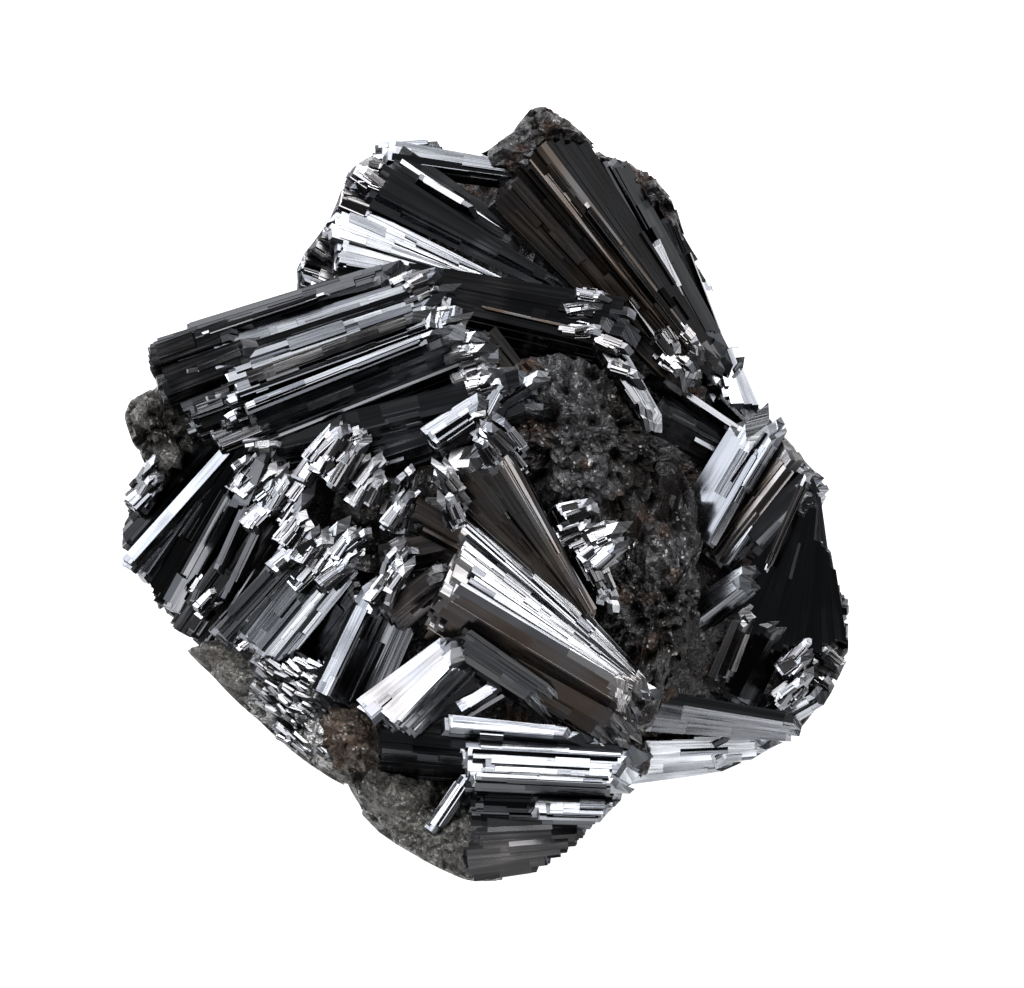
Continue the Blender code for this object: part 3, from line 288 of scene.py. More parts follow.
SHEAVES = {
    "upper_left_crystals": (
        sheaf("upper_left_block", (-16.6, 6.3, 26.8), (-3.9, 10.9, 27), (4, 3.4), (0.6, 0.5), 25, 80,
              root_run=(0.2, -0.3), tip_run=(-1.6, 0.3), ragged=(1.1, 0.5), calm=(0.25, 0.3),
              shine=(0.46, 0.5, 1)),
        sheaf("upper_left_ridge_line", (-15.6, 5.7, 27), (-4.3, 10.2, 27.1), (0.3, 0.25), 0.4, 25, 80,
              ragged=(1.2, 0.4), calm=(0, 0.3), shine=(0.7, 0.5, 1.1)),
        sheaf("upper_left_band", (-15.8, 7.2, 26.9), (-5.2, 11.1, 27.1), (0.8, 0.7), 0.3, 14, 75,
              ragged=(1.2, 0.6), brown=(0.3, 0.2), calm=(0.2, 0.3), shine=(0.4, 0.4, 1)),
        sheaf("upper_left_step", (-15.2, 5, 26.2), (-3, 9.9, 26.6), (1, 0.9), (4.3, 4.5), 10, 60,
              root_run=(0, -0.5), tip_run=(-0.3, 1.3), ragged=(0.7, 0.4), calm=0.1, shine=(0.4, 0.5, 1)),
        sheaf("upper_left_rear", (-22.4, 9.2, 23.2), (-7.7, 13.9, 25.4), (1.2, 0.9), (2.2, 1.5), 50, 72,
              calm=(0.5, 0.7), shine=(0.6, 0.6, 0.8)),
        sheaf("upper_left_edge", (-18.4, 10.6, 25.4), (-11.4, 12.9, 26), 0.15, 0.2, 25, 80, ragged=0.2,
              brown=0.15, shine=(0.6, 0.5, 1)),
        sheaf("left_block_rear", (-22.3, 8.3, 24.2), (-17.6, 9.9, 25.4), (1.3, 1.4), 1.2, 8, 65,
              ragged=(0.7, 0.5), brown=0.2, calm=0.5, shine=(0.45, 0.4, 0.6)),
        sheaf("left_block_upper", (-20.9, 6.6, 25.2), (-16.4, 8.3, 26), 1.7, (1.7, 1.6), 8, 68,
              ragged=(0.8, 0.5), brown=0.2, calm=(0.6, 0.5), shine=(0.45, 0.4, 0.6)),
        sheaf("left_block_middle", (-19.4, 4.9, 24.6), (-14.8, 6.6, 25.6), 1.3, (2.1, 2), 12, 68,
              ragged=(0.8, 0.5), brown=0.2, calm=(0.5, 0.4), shine=(0.45, 0.4, 0.6)),
        sheaf("left_block_lower", (-17.6, 3.1, 23.6), (-13, 4.9, 25), 1.3, (1.7, 1.6), 12, 68,
              ragged=(0.6, 0.5), brown=0.3, calm=(0.5, 0.4), shine=(0.45, 0.4, 0.6)),
        sheaf("lower_dark_block", (-13.4, 3, 24), (1.2, 6.5, 25), (1.3, 1.4), (1.7, 1.5), 3, 55,
              ragged=0.8, calm=(0.5, 0.4)),
        sheaf("inner_dark_block", (-9.5, 1.5, 22.6), (2.5, 5.4, 24.4), 1.6, (1.6, 1.5), 9, 65,
              calm=(0.6, 0.4)),
        sheaf("small_bright_block", (-3.3, 3.3, 25.2), (-1.1, 4.8, 25.6), (1.4, 1.3), (1.1, 1), 27, 80,
              ragged=0.3, brown=0.15, calm=(0.6, 0.4)),
        sheaf("edge_plate", (-0.7, 3.8, 25), (0.7, 6.5, 25.2), (0.6, 0.5), (0.7, 0.6), 25, 75, ragged=0.3,
              brown=0.15, calm=(0.6, 0.4)),
        sheaf("edge_plate_right", (0.7, 5.8, 24.8), (2.6, 7, 25), (0.7, 0.6), 0.5, 27, 75, ragged=0.3,
              brown=0.15, calm=(0.6, 0.4)),
    ),
    "left_fan_crystals": (
        sheaf("outer_left_flank", (-24.1, -3.4, 19.2), (-17, 4.4, 22.6), (1.8, 1.4), 0.9, 42, 75,
              calm=(0.6, 0.5), shine=(0.25, 0.4, 0.6)),
        sheaf("white_blade_long", (-23.6, -4.6, 21.8), (-16, 3.9, 23), (0.7, 0.65), (0.7, 0.6), 25, 80,
              ragged=0.2, calm=(0.9, 0.5)),
        sheaf("white_blade_short", (-22.7, -5.4, 21), (-19.1, -0.2, 21.9), (0.4, 0.35), 0.5, 25, 80,
              ragged=0.2, calm=(0.9, 0.5)),
        sheaf("outer_left_crystal", (-21.6, -7.4, 19.8), (-15.9, 2.8, 23.2), (1.7, 0.6), (2, 1.6), 8, 30,
              calm=(0.7, 0.5), shine=(0.18, 0.6, 1)),
        sheaf("fan_white_end", (-16, -0.9, 23.8), (-14.9, 1.9, 24.2), (1.1, 0.5), (0.6, 0.3), 27, 80,
              ragged=(0.3, 0.1), brown=0.15, calm=(0.9, 0.5)),
        sheaf("fan_line_outer", (-17.8, -4.8, 22.6), (-15.4, 0.6, 23.4), 0.3, 0.5, 26, 80, ragged=0.2,
              brown=0.15, calm=(0.9, 0.5)),
        sheaf("fan_striped", (-19.8, -9.5, 19.2), (-14.2, -1.4, 23.4), (1.6, 1.3), (1.7, 1.4), 12, 50,
              ragged=(0.4, 0.8), brown=0.15, calm=0, shine=(0.4, 1.3, 1.2)),
        sheaf("fan_line_middle", (-17.3, -6.7, 22), (-14.4, -0.7, 23.6), 0.3, 0.5, 26, 80, ragged=0.2,
              brown=0.15, calm=(0.9, 0.5)),
        sheaf("fan_line_inner", (-16.8, -8.3, 21.6), (-13, -3.2, 23.6), (0.4, 0.35), 0.6, 27, 80,
              ragged=0.2, brown=0.15, calm=(0.9, 0.5)),
        sheaf("fan_narrow", (-17.3, -9.7, 21.6), (-12.6, -4.6, 23.4), (1.3, 1.2), (1.5, 1.3), 24, 60,
              ragged=(0.4, 0.6), brown=0.15, calm=0, shine=(0.6, 1.4, 1.3)),
        sheaf("fan_middle", (-14.9, -10.6, 22.6), (-10.7, -5.6, 24), (2, 2.2), (1.7, 1.5), 22, 50,
              ragged=(0.4, 0.8), calm=(0.2, 0.3), shine=(0.8, 1.4, 1.4)),
        sheaf("pillar_side", (-12.1, -12.9, 20.2), (-8.8, -8.2, 23.4), (2, 1.5), 0.6, 26, 75,
              calm=(0.3, 0.5)),
        sheaf("pillar", (-10.4, -13.6, 24.2), (-7.8, -8.1, 24.1), (1.35, 1.3), (3.3, 3.1), 25, 70,
              root_run=0, tip_run=(0, 1.6), ragged=(0.2, 0.3), brown=0.05, calm=(0.4, 0.8),
              shine=(0.9, 1.6, 1.2)),
        sheaf("pillar_top", (-6.2, -8.2, 24.2), (-4, -6.4, 24.8), (1.1, 1), (1.2, 1.1), 10, 70,
              ragged=(0.3, 0.4), brown=0.6, calm=0.6),
    ),
    "middle_chips": (
        sheaf("pale_block", (-6, -15.1, 25.5), (-2.6, -11.6, 25.9), (2.7, 1.9), 1.7, 27, 78,
              root_run=(1.3, 0), tip_run=(-0.3, 0.2), ragged=(0.5, 0.2), brown=(0.35, 0.1),
              calm=(0.8, 0.1), shine=(1.15, 2.4, 1.2)),
        sheaf("pale_block_foot", (-3.8, -14.7, 24), (-0.6, -13, 24.2), (1.3, 1.2), (1.4, 1.2), 5, 60,
              ragged=0.4, brown=0.15, calm=(0.5, 0.4)),
        sheaf("foot_white_chip", (-1.3, -14.3, 24.6), (0.4, -13.2, 24.6), (0.7, 0.4), (0.4, 0.3), 27, 75,
              ragged=0.2, brown=0.15, calm=(0.9, 0.5)),
        sheaf("sunken_chip", (-6.6, -4.6, 23.2), (-2.9, -3.8, 23.6), 1.2, (1.8, 1.6), 5, 60, brown=0.7,
              calm=(0.6, 0.5)),
        sheaf("brown_chip", (-4.9, -1.7, 24.2), (-2, -3.3, 24.4), (1.3, 1.1), (1.5, 1.3), 8, 60,
              ragged=0.4, brown=0.8, calm=(0.6, 0.5)),
    ),
    "central_crystals": (
        sheaf("central_block", (-1.5, -6.4, 26.2), (8.3, -12.2, 26.1), (5.2, 1.6), (4.2, 4.6), 27, 56,
              root_run=(3.4, 0.3), tip_run=(0.4, 0.3), ragged=(0.9, 0.3), brown=(0.05, 0.85),
              calm=(0, 0.95), shine=(1.5, 0.85, 1.5)),
        sheaf("central_plate", (-1.9, -11, 25), (2.3, -13.7, 25), (2, 1.8), 0.5, -27, 45, ragged=0.4,
              calm=0.5),
        sheaf("central_lower_slab", (1.2, -12.4, 25), (6.9, -16, 24.6), (1.6, 2), 0.4, -28, 45,
              ragged=0.4, brown=0.9, calm=(0.6, 0.5), shine=(0.8, 0.8, 1.2)),
        sheaf("triangle_fan", (6.7, -8, 25.2), (1, 1.6, 26), (0.4, 4), (0.3, 1.2), 20, 50,
              ragged=(0.2, 0.8), brown=0.7, calm=(0.3, 0), shine=(0.9, 1.3, 1.6)),
        sheaf("buried_chip", (4.6, -1.2, 23.8), (7.1, -6.2, 25), (1.6, 1.2), (0.7, 0.5), 25, 75,
              ragged=(0.6, 0.5), brown=0.15, calm=0, shine=(0.45, 0.6, 1.2)),
    ),
    "bottom_crystals": (
        sheaf("bottom_top_blade", (-2.3, -15.6, 24.8), (4.3, -16.1, 24.8), (0.8, 0.6), 0.6, 25, 75,
              root_run=(0.6, 0.4), tip_run=(0.8, 0.4), ragged=0.3, calm=(0.6, 0.4), shine=(1.3, 0.8, 1)),
        sheaf("bottom_dark_part", (-8.2, -16.7, 22.4), (0, -17.5, 23.8), (1.9, 1.8), (2, 1.8), 4, 55,
              ragged=(0.7, 0.4), calm=(0.3, 0.2), shine=(0.4, 0.22, 0.8)),
        sheaf("bottom_bright_part", (-0.6, -18.9, 25), (8, -19.3, 25), (2.7, 2.6), 0.9, 25, 75,
              root_run=(0.2, 1), tip_run=0, ragged=(1.4, 0.2), calm=(0.1, 0.3), shine=(1, 0.4, 1.3)),
        sheaf("bottom_step", (-0.6, -20.7, 22.4), (7.3, -21, 22.8), 1.5, (1.6, 1.4), 5, 55,
              ragged=(1, 0.4), calm=0.2, shine=(0.5, 0.35, 0.8)),
        sheaf("bottom_bright_step", (3.9, -21.3, 24), (7.9, -21.4, 24), 1.5, 0.7, 25, 75,
              root_run=(1.2, 0.2), tip_run=(0.3, 0), ragged=(0.9, 0.2), calm=(0.6, 0.3),
              shine=(1.4, 0.5, 1.2)),
        sheaf("bottom_slab", (-0.8, -22.9, 21.25), (6, -22.5, 21.25), (1.7, 1.4), (3, 2.4), 5, 18,
              tip_run=(0.3, -1.6), ragged=(1, 0.6), brown=(0.1, 0.3), calm=(0.7, 0.5),
              shine=(1.4, 2.6, 0.8)),
        sheaf("bottom_white_sliver", (-3.6, -22.4, 21.9), (-1.6, -19.4, 22.1), (0.6, 0.5), 0.4, 25, 75,
              ragged=(0.7, 0.5), brown=0.15, calm=(0, 0.2), shine=(1.5, 1, 1.5)),
    ),
    "top_fan_crystals": (
        sheaf("top_fan_upper", (-6.4, 22.2, 17.6), (1.5, 21.1, 17.8), (1.3, 1), (0.9, 0.8), 24, 75,
              ragged=(0.6, 0.3), calm=0.5, shine=(0.5, 0.8, 1)),
        sheaf("top_corner", (-8, 22.2, 16.4), (-4.6, 22.6, 17.2), (1, 0.8), (1.4, 1.2), 40, 60,
              ragged=0.3, calm=0.6),
        sheaf("top_fan_ribbed", (-6.2, 21.1, 17.8), (0.6, 17, 17.8), (2, 1.4), 0.5, 8, 60,
              calm=(0.4, 0.3)),
        sheaf("top_fan_line", (-4.4, 20.8, 18.6), (-1.7, 19.2, 18.6), (0.35, 0.3), 0.4, 26, 75,
              ragged=0.2, brown=0.15, calm=(0.9, 0.5)),
        sheaf("top_fan_dark", (-7.3, 19.9, 18.6), (3.5, 14.3, 18.6), (1.9, 0.6), (0.8, 0.4), 3, 50,
              calm=(0.8, 0.5)),
        sheaf("top_fan_bright", (-9.8, 15.3, 19.4), (0.2, 13.6, 19.2), (4.2, 0.5), (0.8, 0.6), 25, 78,
              ragged=(0.7, 0.2), calm=0.4, shine=(1.05, 0.8, 1.5)),
        sheaf("top_fan_lower", (-9.4, 14.6, 17.6), (0.6, 13.4, 18), (1.6, 0.5), (1.2, 0.6), 12, 70,
              ragged=(0.7, 0.2), shine=(1.3, 1.3, 1.6)),
        sheaf("top_fan_rim", (-9.6, 19.2, 16.8), (-4.5, 17.8, 17.4), (2.4, 1.8), (0.9, 0.8), 34, 75,
              ragged=(0.6, 0.3), brown=0.15, calm=(0.6, 0.4)),
        sheaf("top_fan_left", (-12.4, 13.8, 16.2), (-6.5, 11.6, 16.8), (4.4, 3.8), (1.2, 1), 26, 75,
              ragged=(0.9, 0.5), brown=0.15, calm=(0.5, 0.3)),
        sheaf("dark_crystal", (-5.5, 12.8, 20.4), (6.8, 9.9, 21.4), (2.5, 3.4), 1.9, 5, 55,
              ragged=(0.4, 0.9), brown=0.15, calm=(0.7, 0.6), shine=(0.5, 0.4, 1)),
        sheaf("golden_line", (0.1, 12.2, 21), (4.9, 11.1, 21.45), 0.1, 0.12, 18, 70, ragged=(0.5, 0.3),
              brown=1, calm=0.2, shine=(0.4, 0.25, 0.4)),
        sheaf("brown_wedge", (-0.7, 9.5, 22.2), (2.7, 5.9, 22.6), (1.9, 1.3), (1.2, 1), 5, 50, brown=0.7,
              calm=(0.8, 0.7)),
    ),
    "top_crystals": (
        sheaf("top_crystal", (3.7, 22.9, 19.2), (13.5, 10, 20.6), (2.8, 1.2), (5.4, 3.2), 46, 60,
              root_run=(0.4, -0.9), tip_run=(0.2, 0.4), ragged=(0.5, 0.8), brown=(0.2, 0.9),
              calm=(0.9, 0.1), shine=(0.12, 0.5, 1.2)),
        sheaf("top_ridge_line", (6.7, 18.8, 20.1), (13.4, 10.1, 20.8), (0.25, 0.15), 0.25, 24, 75,
              ragged=0.3, brown=0.3, shine=(0.45, 0.2, 1)),
        sheaf("top_streaks", (9.4, 12.9, 20), (12.5, 8.5, 20.6), (1.5, 1.2), (0.8, 0.7), 24, 70,
              ragged=(1.2, 0.6), brown=0.2, calm=(0, 0.1)),
        sheaf("top_crystal_flank", (7.9, 21.7, 16), (14, 10.6, 18), (1.5, 1.4), 2, 52, 75,
              ragged=(0.5, 0.7), calm=(0.6, 0.5), shine=(0.15, 0.3, 0.6)),
        sheaf("top_right_rear", (10.2, 20.7, 12.6), (13.6, 15.6, 13.2), (1.3, 1), (2.4, 2), 35, 70,
              brown=0.15, calm=0.5, shine=(0.3, 0.3, 0.6)),
        sheaf("right_flank", (11.2, 17.6, 15), (14.1, 10.4, 16.4), (1.7, 1.5), (1.6, 1.5), 40, 70,
              ragged=0.6, calm=(0.6, 0.5), shine=(0.25, 0.25, 0.8)),
        sheaf("right_flank_lens", (11, 16.3, 17.2), (12.3, 13.7, 17.8), (0.7, 0.5), 0.5, 25, 75,
              ragged=0.2, brown=0.15, calm=(0.8, 0.5)),
        sheaf("white_shard", (13.1, 16.3, 11.8), (14.7, 7.2, 15.4), (1, 3.2), 0.6, 12, 75,
              ragged=(0.2, 0.8), calm=(0.9, 0.5), shine=(1.6, 0.8, 1.2)),
        sheaf("small_white_crystal", (7.6, 9.4, 21.2), (10.1, 5.7, 21.8), (1.4, 1), (0.7, 0.6), 27, 80,
              ragged=(0.5, 0.4), calm=(0.8, 0.5)),
    ),
    "right_crystals": (
        sheaf("right_bar", (11.6, 7.4, 18.8), (20.6, 1.4, 18.6), (0.4, 0.35), (0.8, 0.7), 27, 75,
              brown=0.1, calm=(0.7, 0.5), shine=(1.1, 0.3, 1)),
        sheaf("right_dark_side", (12, 6.4, 18.2), (19.8, 1, 17.8), 0.5, (1.2, 1), 10, 60, calm=(0.7, 0.5),
              shine=(0.3, 0.3, 0.7)),
        sheaf("right_rim", (15.4, 6.3, 15.6), (21.6, 0.3, 15.4), (1.6, 1.4), 1.2, 48, 75,
              ragged=(0.5, 0.7), calm=0.5),
        sheaf("right_short_bar", (11.4, 5.4, 18.4), (16.4, 2.6, 17.8), 1, (2, 1.7), 15, 45,
              calm=(0.5, 0.4)),
        sheaf("right_bright_block", (14.6, -3.3, 19.9), (17.8, 2.3, 20), (2.7, 2.5), 0.6, 26, 80,
              root_run=(0.6, 0), tip_run=(-0.2, 0), ragged=(0.1, 0.2), calm=(1, 0.5),
              shine=(0.7, 1.2, 0.8)),
        sheaf("right_bright_tip", (17.1, 0.5, 20), (18.7, 3.1, 20), (1, 0.8), 0.6, 24, 75,
              ragged=(0.3, 0.5), calm=0.5),
        sheaf("right_green_block", (15.4, -4, 18.6), (19.7, 1.5, 19.2), 1.3, 0.8, 22, 60,
              brown=(0.9, 0.5), calm=(0.3, 0.4), shine=(0.8, 0.8, 1)),
        sheaf("right_white_chip", (15.8, -4.8, 18.4), (17.6, -2.2, 18.6), (1.1, 1), 0.8, 25, 75,
              ragged=0.3, calm=(0.6, 0.5)),
        sheaf("right_black_block", (17.9, -3.3, 18.4), (20.8, -0.4, 18.6), (1.3, 1.2), (1.3, 1.2), 2, 50,
              calm=0.9),
        sheaf("right_white_line", (18.7, -4.8, 18.9), (21, 0.4, 19), (0.1, 0.2), (0.2, 0.3), 26, 75,
              ragged=0.2, brown=0.4, shine=(0.8, 0.4, 1)),
        sheaf("right_wedge", (17.6, -10.4, 17), (20.9, -1.6, 18.2), (2.4, 1.6), (7.2, 2), 12, 30,
              root_run=(0.6, -2.6), ragged=(0.4, 0.3), calm=1, shine=(0.35, 0.35, 0.6)),
        sheaf("right_inner_chip", (14.1, -8.4, 18.2), (16.6, -6.5, 18.4), (1.3, 1.1), (1.1, 1), 27, 75,
              ragged=0.4, calm=(0.6, 0.5)),
        sheaf("right_lower_chip", (15.7, -12.5, 17), (17, -9.2, 17.6), (0.8, 0.7), (0.9, 0.8), 24, 70,
              ragged=0.4, brown=0.5, calm=0.4),
        sheaf("right_lower_black", (16.8, -13.6, 16.4), (18.8, -9.9, 17.2), (1.2, 1.1), (1.4, 1.2), 2, 50,
              ragged=0.4, calm=0.9, shine=(0.08, 0.12, 0.4)),
        sheaf("lower_right_slab", (11.4, -14, 16.4), (19.9, -15.4, 16), (0.7, 0.5), (2.1, 1.3), 0, 26,
              ragged=(0.4, 0.5), calm=0.9, shine=(0.6, 1.1, 1)),
        sheaf("lower_right_foot", (9.6, -16.7, 14.6), (17.6, -16.6, 14.6), 0.4, (2.9, 1.9), 53, 80,
              root_run=(0, 0.4), tip_run=(0, 0.2), ragged=0.3, calm=0.5, shine=(1, 1.3, 1.2)),
        sheaf("lower_right_heel", (14.9, -16.9, 14.6), (21, -13.6, 15.4), (0.4, 0.3), (1.7, 1.4), 53, 80,
              root_run=(0, 0.4), tip_run=(0, 0.2), ragged=0.3, calm=0.4, shine=(1, 1.1, 1.2)),
    ),
}

# Small stepped crystals where sheaves end: centre, half-sizes of the field, how many, azimuth of their
# axes, lean, size
CHIP_FIELDS = {
    "block_end_chips": (
        ((-5.2, 13.6, 26.2), (0.7, 0.5), 5, 18, 26, 0.9),
        ((-4.3, 12.6, 26.4), (0.7, 0.7), 6, 18, 26, 0.9),
        ((-3.3, 11.3, 26.4), (0.6, 0.7), 7, 18, 26, 0.9),
        ((-2.3, 9.8, 26), (0.6, 0.8), 7, 18, 26, 0.9),
        ((-1.4, 8.2, 25.6), (0.6, 0.8), 6, 18, 26, 0.9),
        ((-0.6, 6.9, 25.2), (0.6, 0.7), 5, 18, 26, 0.9),
        ((-18.8, 7, 25.4), (2.4, 2), 12, 20, 16, 0.6),
        ((-15.6, 4.2, 25), (1.8, 1.2), 8, 20, 16, 0.6),
    ),
    "fan_end_chips": (
        ((-13.6, -0.7, 24), (1.9, 1.3), 22, 52, 25, 1),
        ((-10.6, 2.1, 25.2), (1.5, 1), 18, 48, 26, 1.1),
        ((-8.2, 0.3, 24.6), (0.9, 0.7), 8, 60, 25, 0.9),
        ((-6, -0.9, 24.2), (0.7, 1.4), 10, 66, 25, 0.8),
        ((-13.1, -3.6, 24.2), (0.7, 1.4), 10, 52, 26, 0.9),
        ((-10.6, -4.6, 25), (1.7, 1.4), 26, 45, 27, 1.1),
        ((-6.6, -5.9, 25), (0.9, 1), 10, 62, 26, 0.9),
        ((-4.3, -2.8, 23.8), (1.9, 1.8), 9, 20, 8, 1),
        ((-23.2, 0.2, 20.8), (0.9, 1.3), 12, 50, 27, 0.8),
        ((-16.2, 0.8, 23.8), (0.5, 1.2), 5, 52, 26, 0.8),
        ((-19, -7.6, 20.8), (0.8, 1.4), 4, 55, 26, 0.6),
        ((-15.2, -10.6, 21.4), (2, 0.6), 6, 40, 26, 0.6),
        ((-2.4, -0.4, 25.8), (0.5, 1.5), 12, 118, 51, 0.8),
        ((0.9, 2.2, 26), (1.1, 1.2), 14, 122, 51, 0.9),
        ((9.5, -12.7, 25.4), (0.5, 0.7), 7, -36, 26, 0.7),
        ((8.5, -14.4, 24.6), (0.5, 0.8), 7, -36, 26, 0.7),
        ((7.5, -16.1, 24.2), (0.5, 0.6), 6, -36, 26, 0.7),
        ((5.6, -2.2, 24.7), (0.6, 0.9), 8, 28, 26, 0.9),
        ((6.9, -3.9, 25), (0.8, 1.2), 12, 30, 26, 1),
    ),
    "top_end_chips": (
        ((-11.6, 14.6, 16.9), (1, 1.2), 18, 162, 51, 1.5),
        ((-10.6, 16.6, 17.3), (1, 1), 15, 155, 51, 1.5),
        ((-9.3, 18.4, 17.8), (0.6, 1), 11, 155, 51, 1.3),
        ((-7.9, 20.8, 18.2), (0.6, 1.1), 10, 150, 51, 1),
        ((-8.4, 13.2, 18.2), (1.4, 0.9), 7, -20, 26, 1),
        ((6, 12.2, 21.5), (0.9, 1.9), 16, 0, 18, 0.7),
        ((12, 9.6, 20.9), (1.4, 1.5), 14, -42, 24, 0.8),
        ((8.2, 9.2, 21.5), (0.8, 1.2), 6, -30, 25, 0.8),
        ((22.9, -12.2, 14.4), (0.9, 1.4), 8, -40, 30, 0.9),
        ((20.3, -12.6, 16.1), (0.4, 1.7), 11, 42, 26, 0.9),
    ),
    "scaly_chips": (
        ((-12.9, -12.9, 22.5), (2.4, 1.6), 130, -32, 26, 0.36),
        ((-11.9, -15.4, 22.4), (2, 1.9), 120, -36, 26, 0.36),
        ((-1.9, -20.9, 20.7), (0.5, 1.5), 14, 60, 26, 0.6),
        ((-14.4, -10.6, 21.9), (1.4, 0.5), 5, -20, 26, 0.4),
    ),
}


def direction(axis_up, axis_left, degrees):
    """The direction across a sheaf that leans by this many degrees from up to its left."""
    turn = math.radians(degrees)
    return axis_up * math.cos(turn) + axis_left * math.sin(turn)


def bundle_between(root, tip, lean, spread, left_widths, right_widths):
    """A bundle whose ridge runs from root to tip, with its left and right facet."""
    along = tip - root
    length = along.length
    along.normalize()
    axis_left = Vector((0, 0, 1)).cross(along).normalized()
    axis_up = along.cross(axis_left)
    turns = (lean + 90, lean - spread - 90, lean, lean - spread)
    left_run, right_run, left_normal, right_normal = [direction(axis_up, axis_left, turn) for turn in turns]
    left_width, right_width = max(left_widths), max(right_widths)
    facets = (
        Facet(left_run, right_run, left_normal, left_widths, left_width, right_width, 1.0),
        Facet(right_run, left_run, right_normal, right_widths, right_width, left_width, RIGHT_GRAIN),
    )
    return Bundle(root, length, along, axis_left, facets)


def sheaf_bundle(row):
    """A sheaf's bundle, with true widths worked out from those that show from above."""
    left_widths = [width / math.cos(math.radians(row.lean)) for width in row.left]
    right_widths = [width / math.cos(math.radians(row.lean - row.spread)) for width in row.right]
    return bundle_between(Vector(row.root), Vector(row.tip), row.lean, row.spread, left_widths, right_widths)


def blend(widths, share):
    """A width part of the way from root to tip, never under a small share of the wider end."""
    return max(widths[0] + (widths[1] - widths[0]) * share, LEAST_TAPER * max(widths))


def polar_table(outline):
    """An outline's corners as angles and distances, sorted and closed at both ends."""
    polar = sorted((math.atan2(y, x) % math.tau, math.hypot(x, y)) for x, y in outline)
    polar.insert(0, (polar[-1][0] - math.tau, polar[-1][1]))
    polar.append((polar[1][0] + math.tau, polar[1][1]))
    return [p[0] for p in polar], [p[1] for p in polar]


def radius_at(table, angle):
    """A polar table's distance in one direction."""
    angles, radii = table
    angle %= math.tau
    k = bisect.bisect_right(angles, angle)
    share = (angle - angles[k - 1]) / (angles[k] - angles[k - 1])
    return radii[k - 1] + (radii[k] - radii[k - 1]) * share


OUTLINE_TABLE = polar_table(OUTLINE)
HELD_BOX = [[at / MM + inwards for at in corner] for corner, inwards in zip(cad_box, (BOX_GAP, -BOX_GAP))]


def reach(point):
    """How far out a point lies, as a share of the specimen's outline there."""
    return math.hypot(point.x, point.y) / radius_at(OUTLINE_TABLE, math.atan2(point.y, point.x))


def held_in(point, most=1.0):
    """The point, or one near it that the outline and the solid's box still cover."""
    share = max(reach(point) / most, 1.0)
    inside = (point.x / share, point.y / share, point.z)
    return Vector([min(max(at, low), high) for at, low, high in zip(inside, *HELD_BOX)])


def new_object(name, data, material):
    """Makes a mesh one object of the specimen and ties it to the frame."""
    made = bpy.data.objects.new(name, data)
    bpy.context.scene.collection.objects.link(made)
    data.materials.append(material)
    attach(made, "root")
    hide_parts(NODE)


class Growth:
    """Collects the corners, faces and attributes of one piece."""

    QUADS = ((0, 1, 3, 2), (4, 6, 7, 5), (0, 4, 5, 1), (2, 3, 7, 6), (0, 2, 6, 4), (1, 5, 7, 3))

    def __init__(self):
        self.points, self.faces, self.grain, self.tone, self.shine = [], [], [], [], []

    def add_block(self, corners, grains, tone, shine):
        """Adds a six-sided block. Its corners come in the order of QUADS."""
        first = len(self.points)
        centre = sum(corners, Vector()) / 8
        a, b, c = corners[0], corners[1], corners[3]
        flip = (b - a).cross(c - a).dot(a - centre) < 0
        for quad in self.QUADS:
            quad = quad[::-1] if flip else quad
            self.faces.append([first + k for k in quad])
        self.points += corners
        self.grain += grains
        self.tone += [tone] * 8
        self.shine += [shine] * 8

    def piece(self, name, material):
        """Makes the collected blocks one object."""
        data = bpy.data.meshes.new(name)
        data.from_pydata([point * MM for point in self.points], [], self.faces)
        for attribute, rows in (("grain", self.grain), ("tone", self.tone)):
            made = data.attributes.new(attribute, "FLOAT_VECTOR", "POINT")
            made.data.foreach_set("vector", [value for row in rows for value in row])
        # painted light and shade: each corner's brightness, which the crystal material scales its colour by
        data.attributes.new("shine", "FLOAT", "POINT").data.foreach_set("value", self.shine)
        data.update()
        new_object(name, data, material)


def random_cuts(chance, width, sizes):
    """Shares from 0 to 1 that part a width into strips of uneven sizes."""
    cuts = [0.0]
    while cuts[-1] < width:
        skew = chance.random() ** CUT_SKEW
        cuts.append(cuts[-1] + sizes[0] + (sizes[1] - sizes[0]) * skew)
    if len(cuts) > 2 and width - cuts[-2] < sizes[0]:
        cuts.pop()
    cuts[-1] = width
    return [cut / width for cut in cuts]


def ends_at(bundle, shape, chance, left_share, right_share):
    """Where a prism at these shares of the facets starts and stops along the ridge."""
    root_run, tip_run, ragged, seed = shape
    left, right = bundle.facets
    stops = []
    for which, run in enumerate((root_run, tip_run)):
        place = Vector((left_share * left.width, right_share * right.width, seed))
        wave = sum(noise.noise(place / size) * share for size, share in END_WAVES)
        uneven = ragged[which] * (WAVE_SHARE * wave + CHANCE_SHARE * chance.uniform(-1, 1))
        terrace = TERRACE * (place.x + place.y) * (which == 1)
        stops.append(run[0] * left_share + run[1] * right_share + uneven + min(terrace, MOST_TERRACE))
    return -stops[0], bundle.length + stops[1]


def facet_ends(bundle, shape, chance, side, start):
    """Where a rib or plate that begins at this share of a facet starts and stops along the ridge."""
    return ends_at(bundle, shape, chance, *((0.0, start) if side else (start, 0.0)))


def shortened(bundle, point_of, ends):
    """The two ends, drawn back until what point_of gives lies inside the outline, or None."""
    found = []
    for end, outward in zip(ends, (-1, 1)):
        for pull in range(MOST_PULLS):
            pulled = end - outward * pull * PULL_STEP
            if max(reach(point) for point in point_of(pulled)) <= 1.0:
                break
        found.append(pulled)
    return found if found[1] - found[0] > SHORTEST_BLOCK else None


def tip_slope(bundle, chance):
    """How far a tip's small face runs on for each unit of depth, so that it points near upwards."""
    rise = math.asin(bundle.along.z)
    return 1 / math.tan(max(math.radians(chance.uniform(*TIP_ANGLES)) + rise, LEAST_TIP_ANGLE))


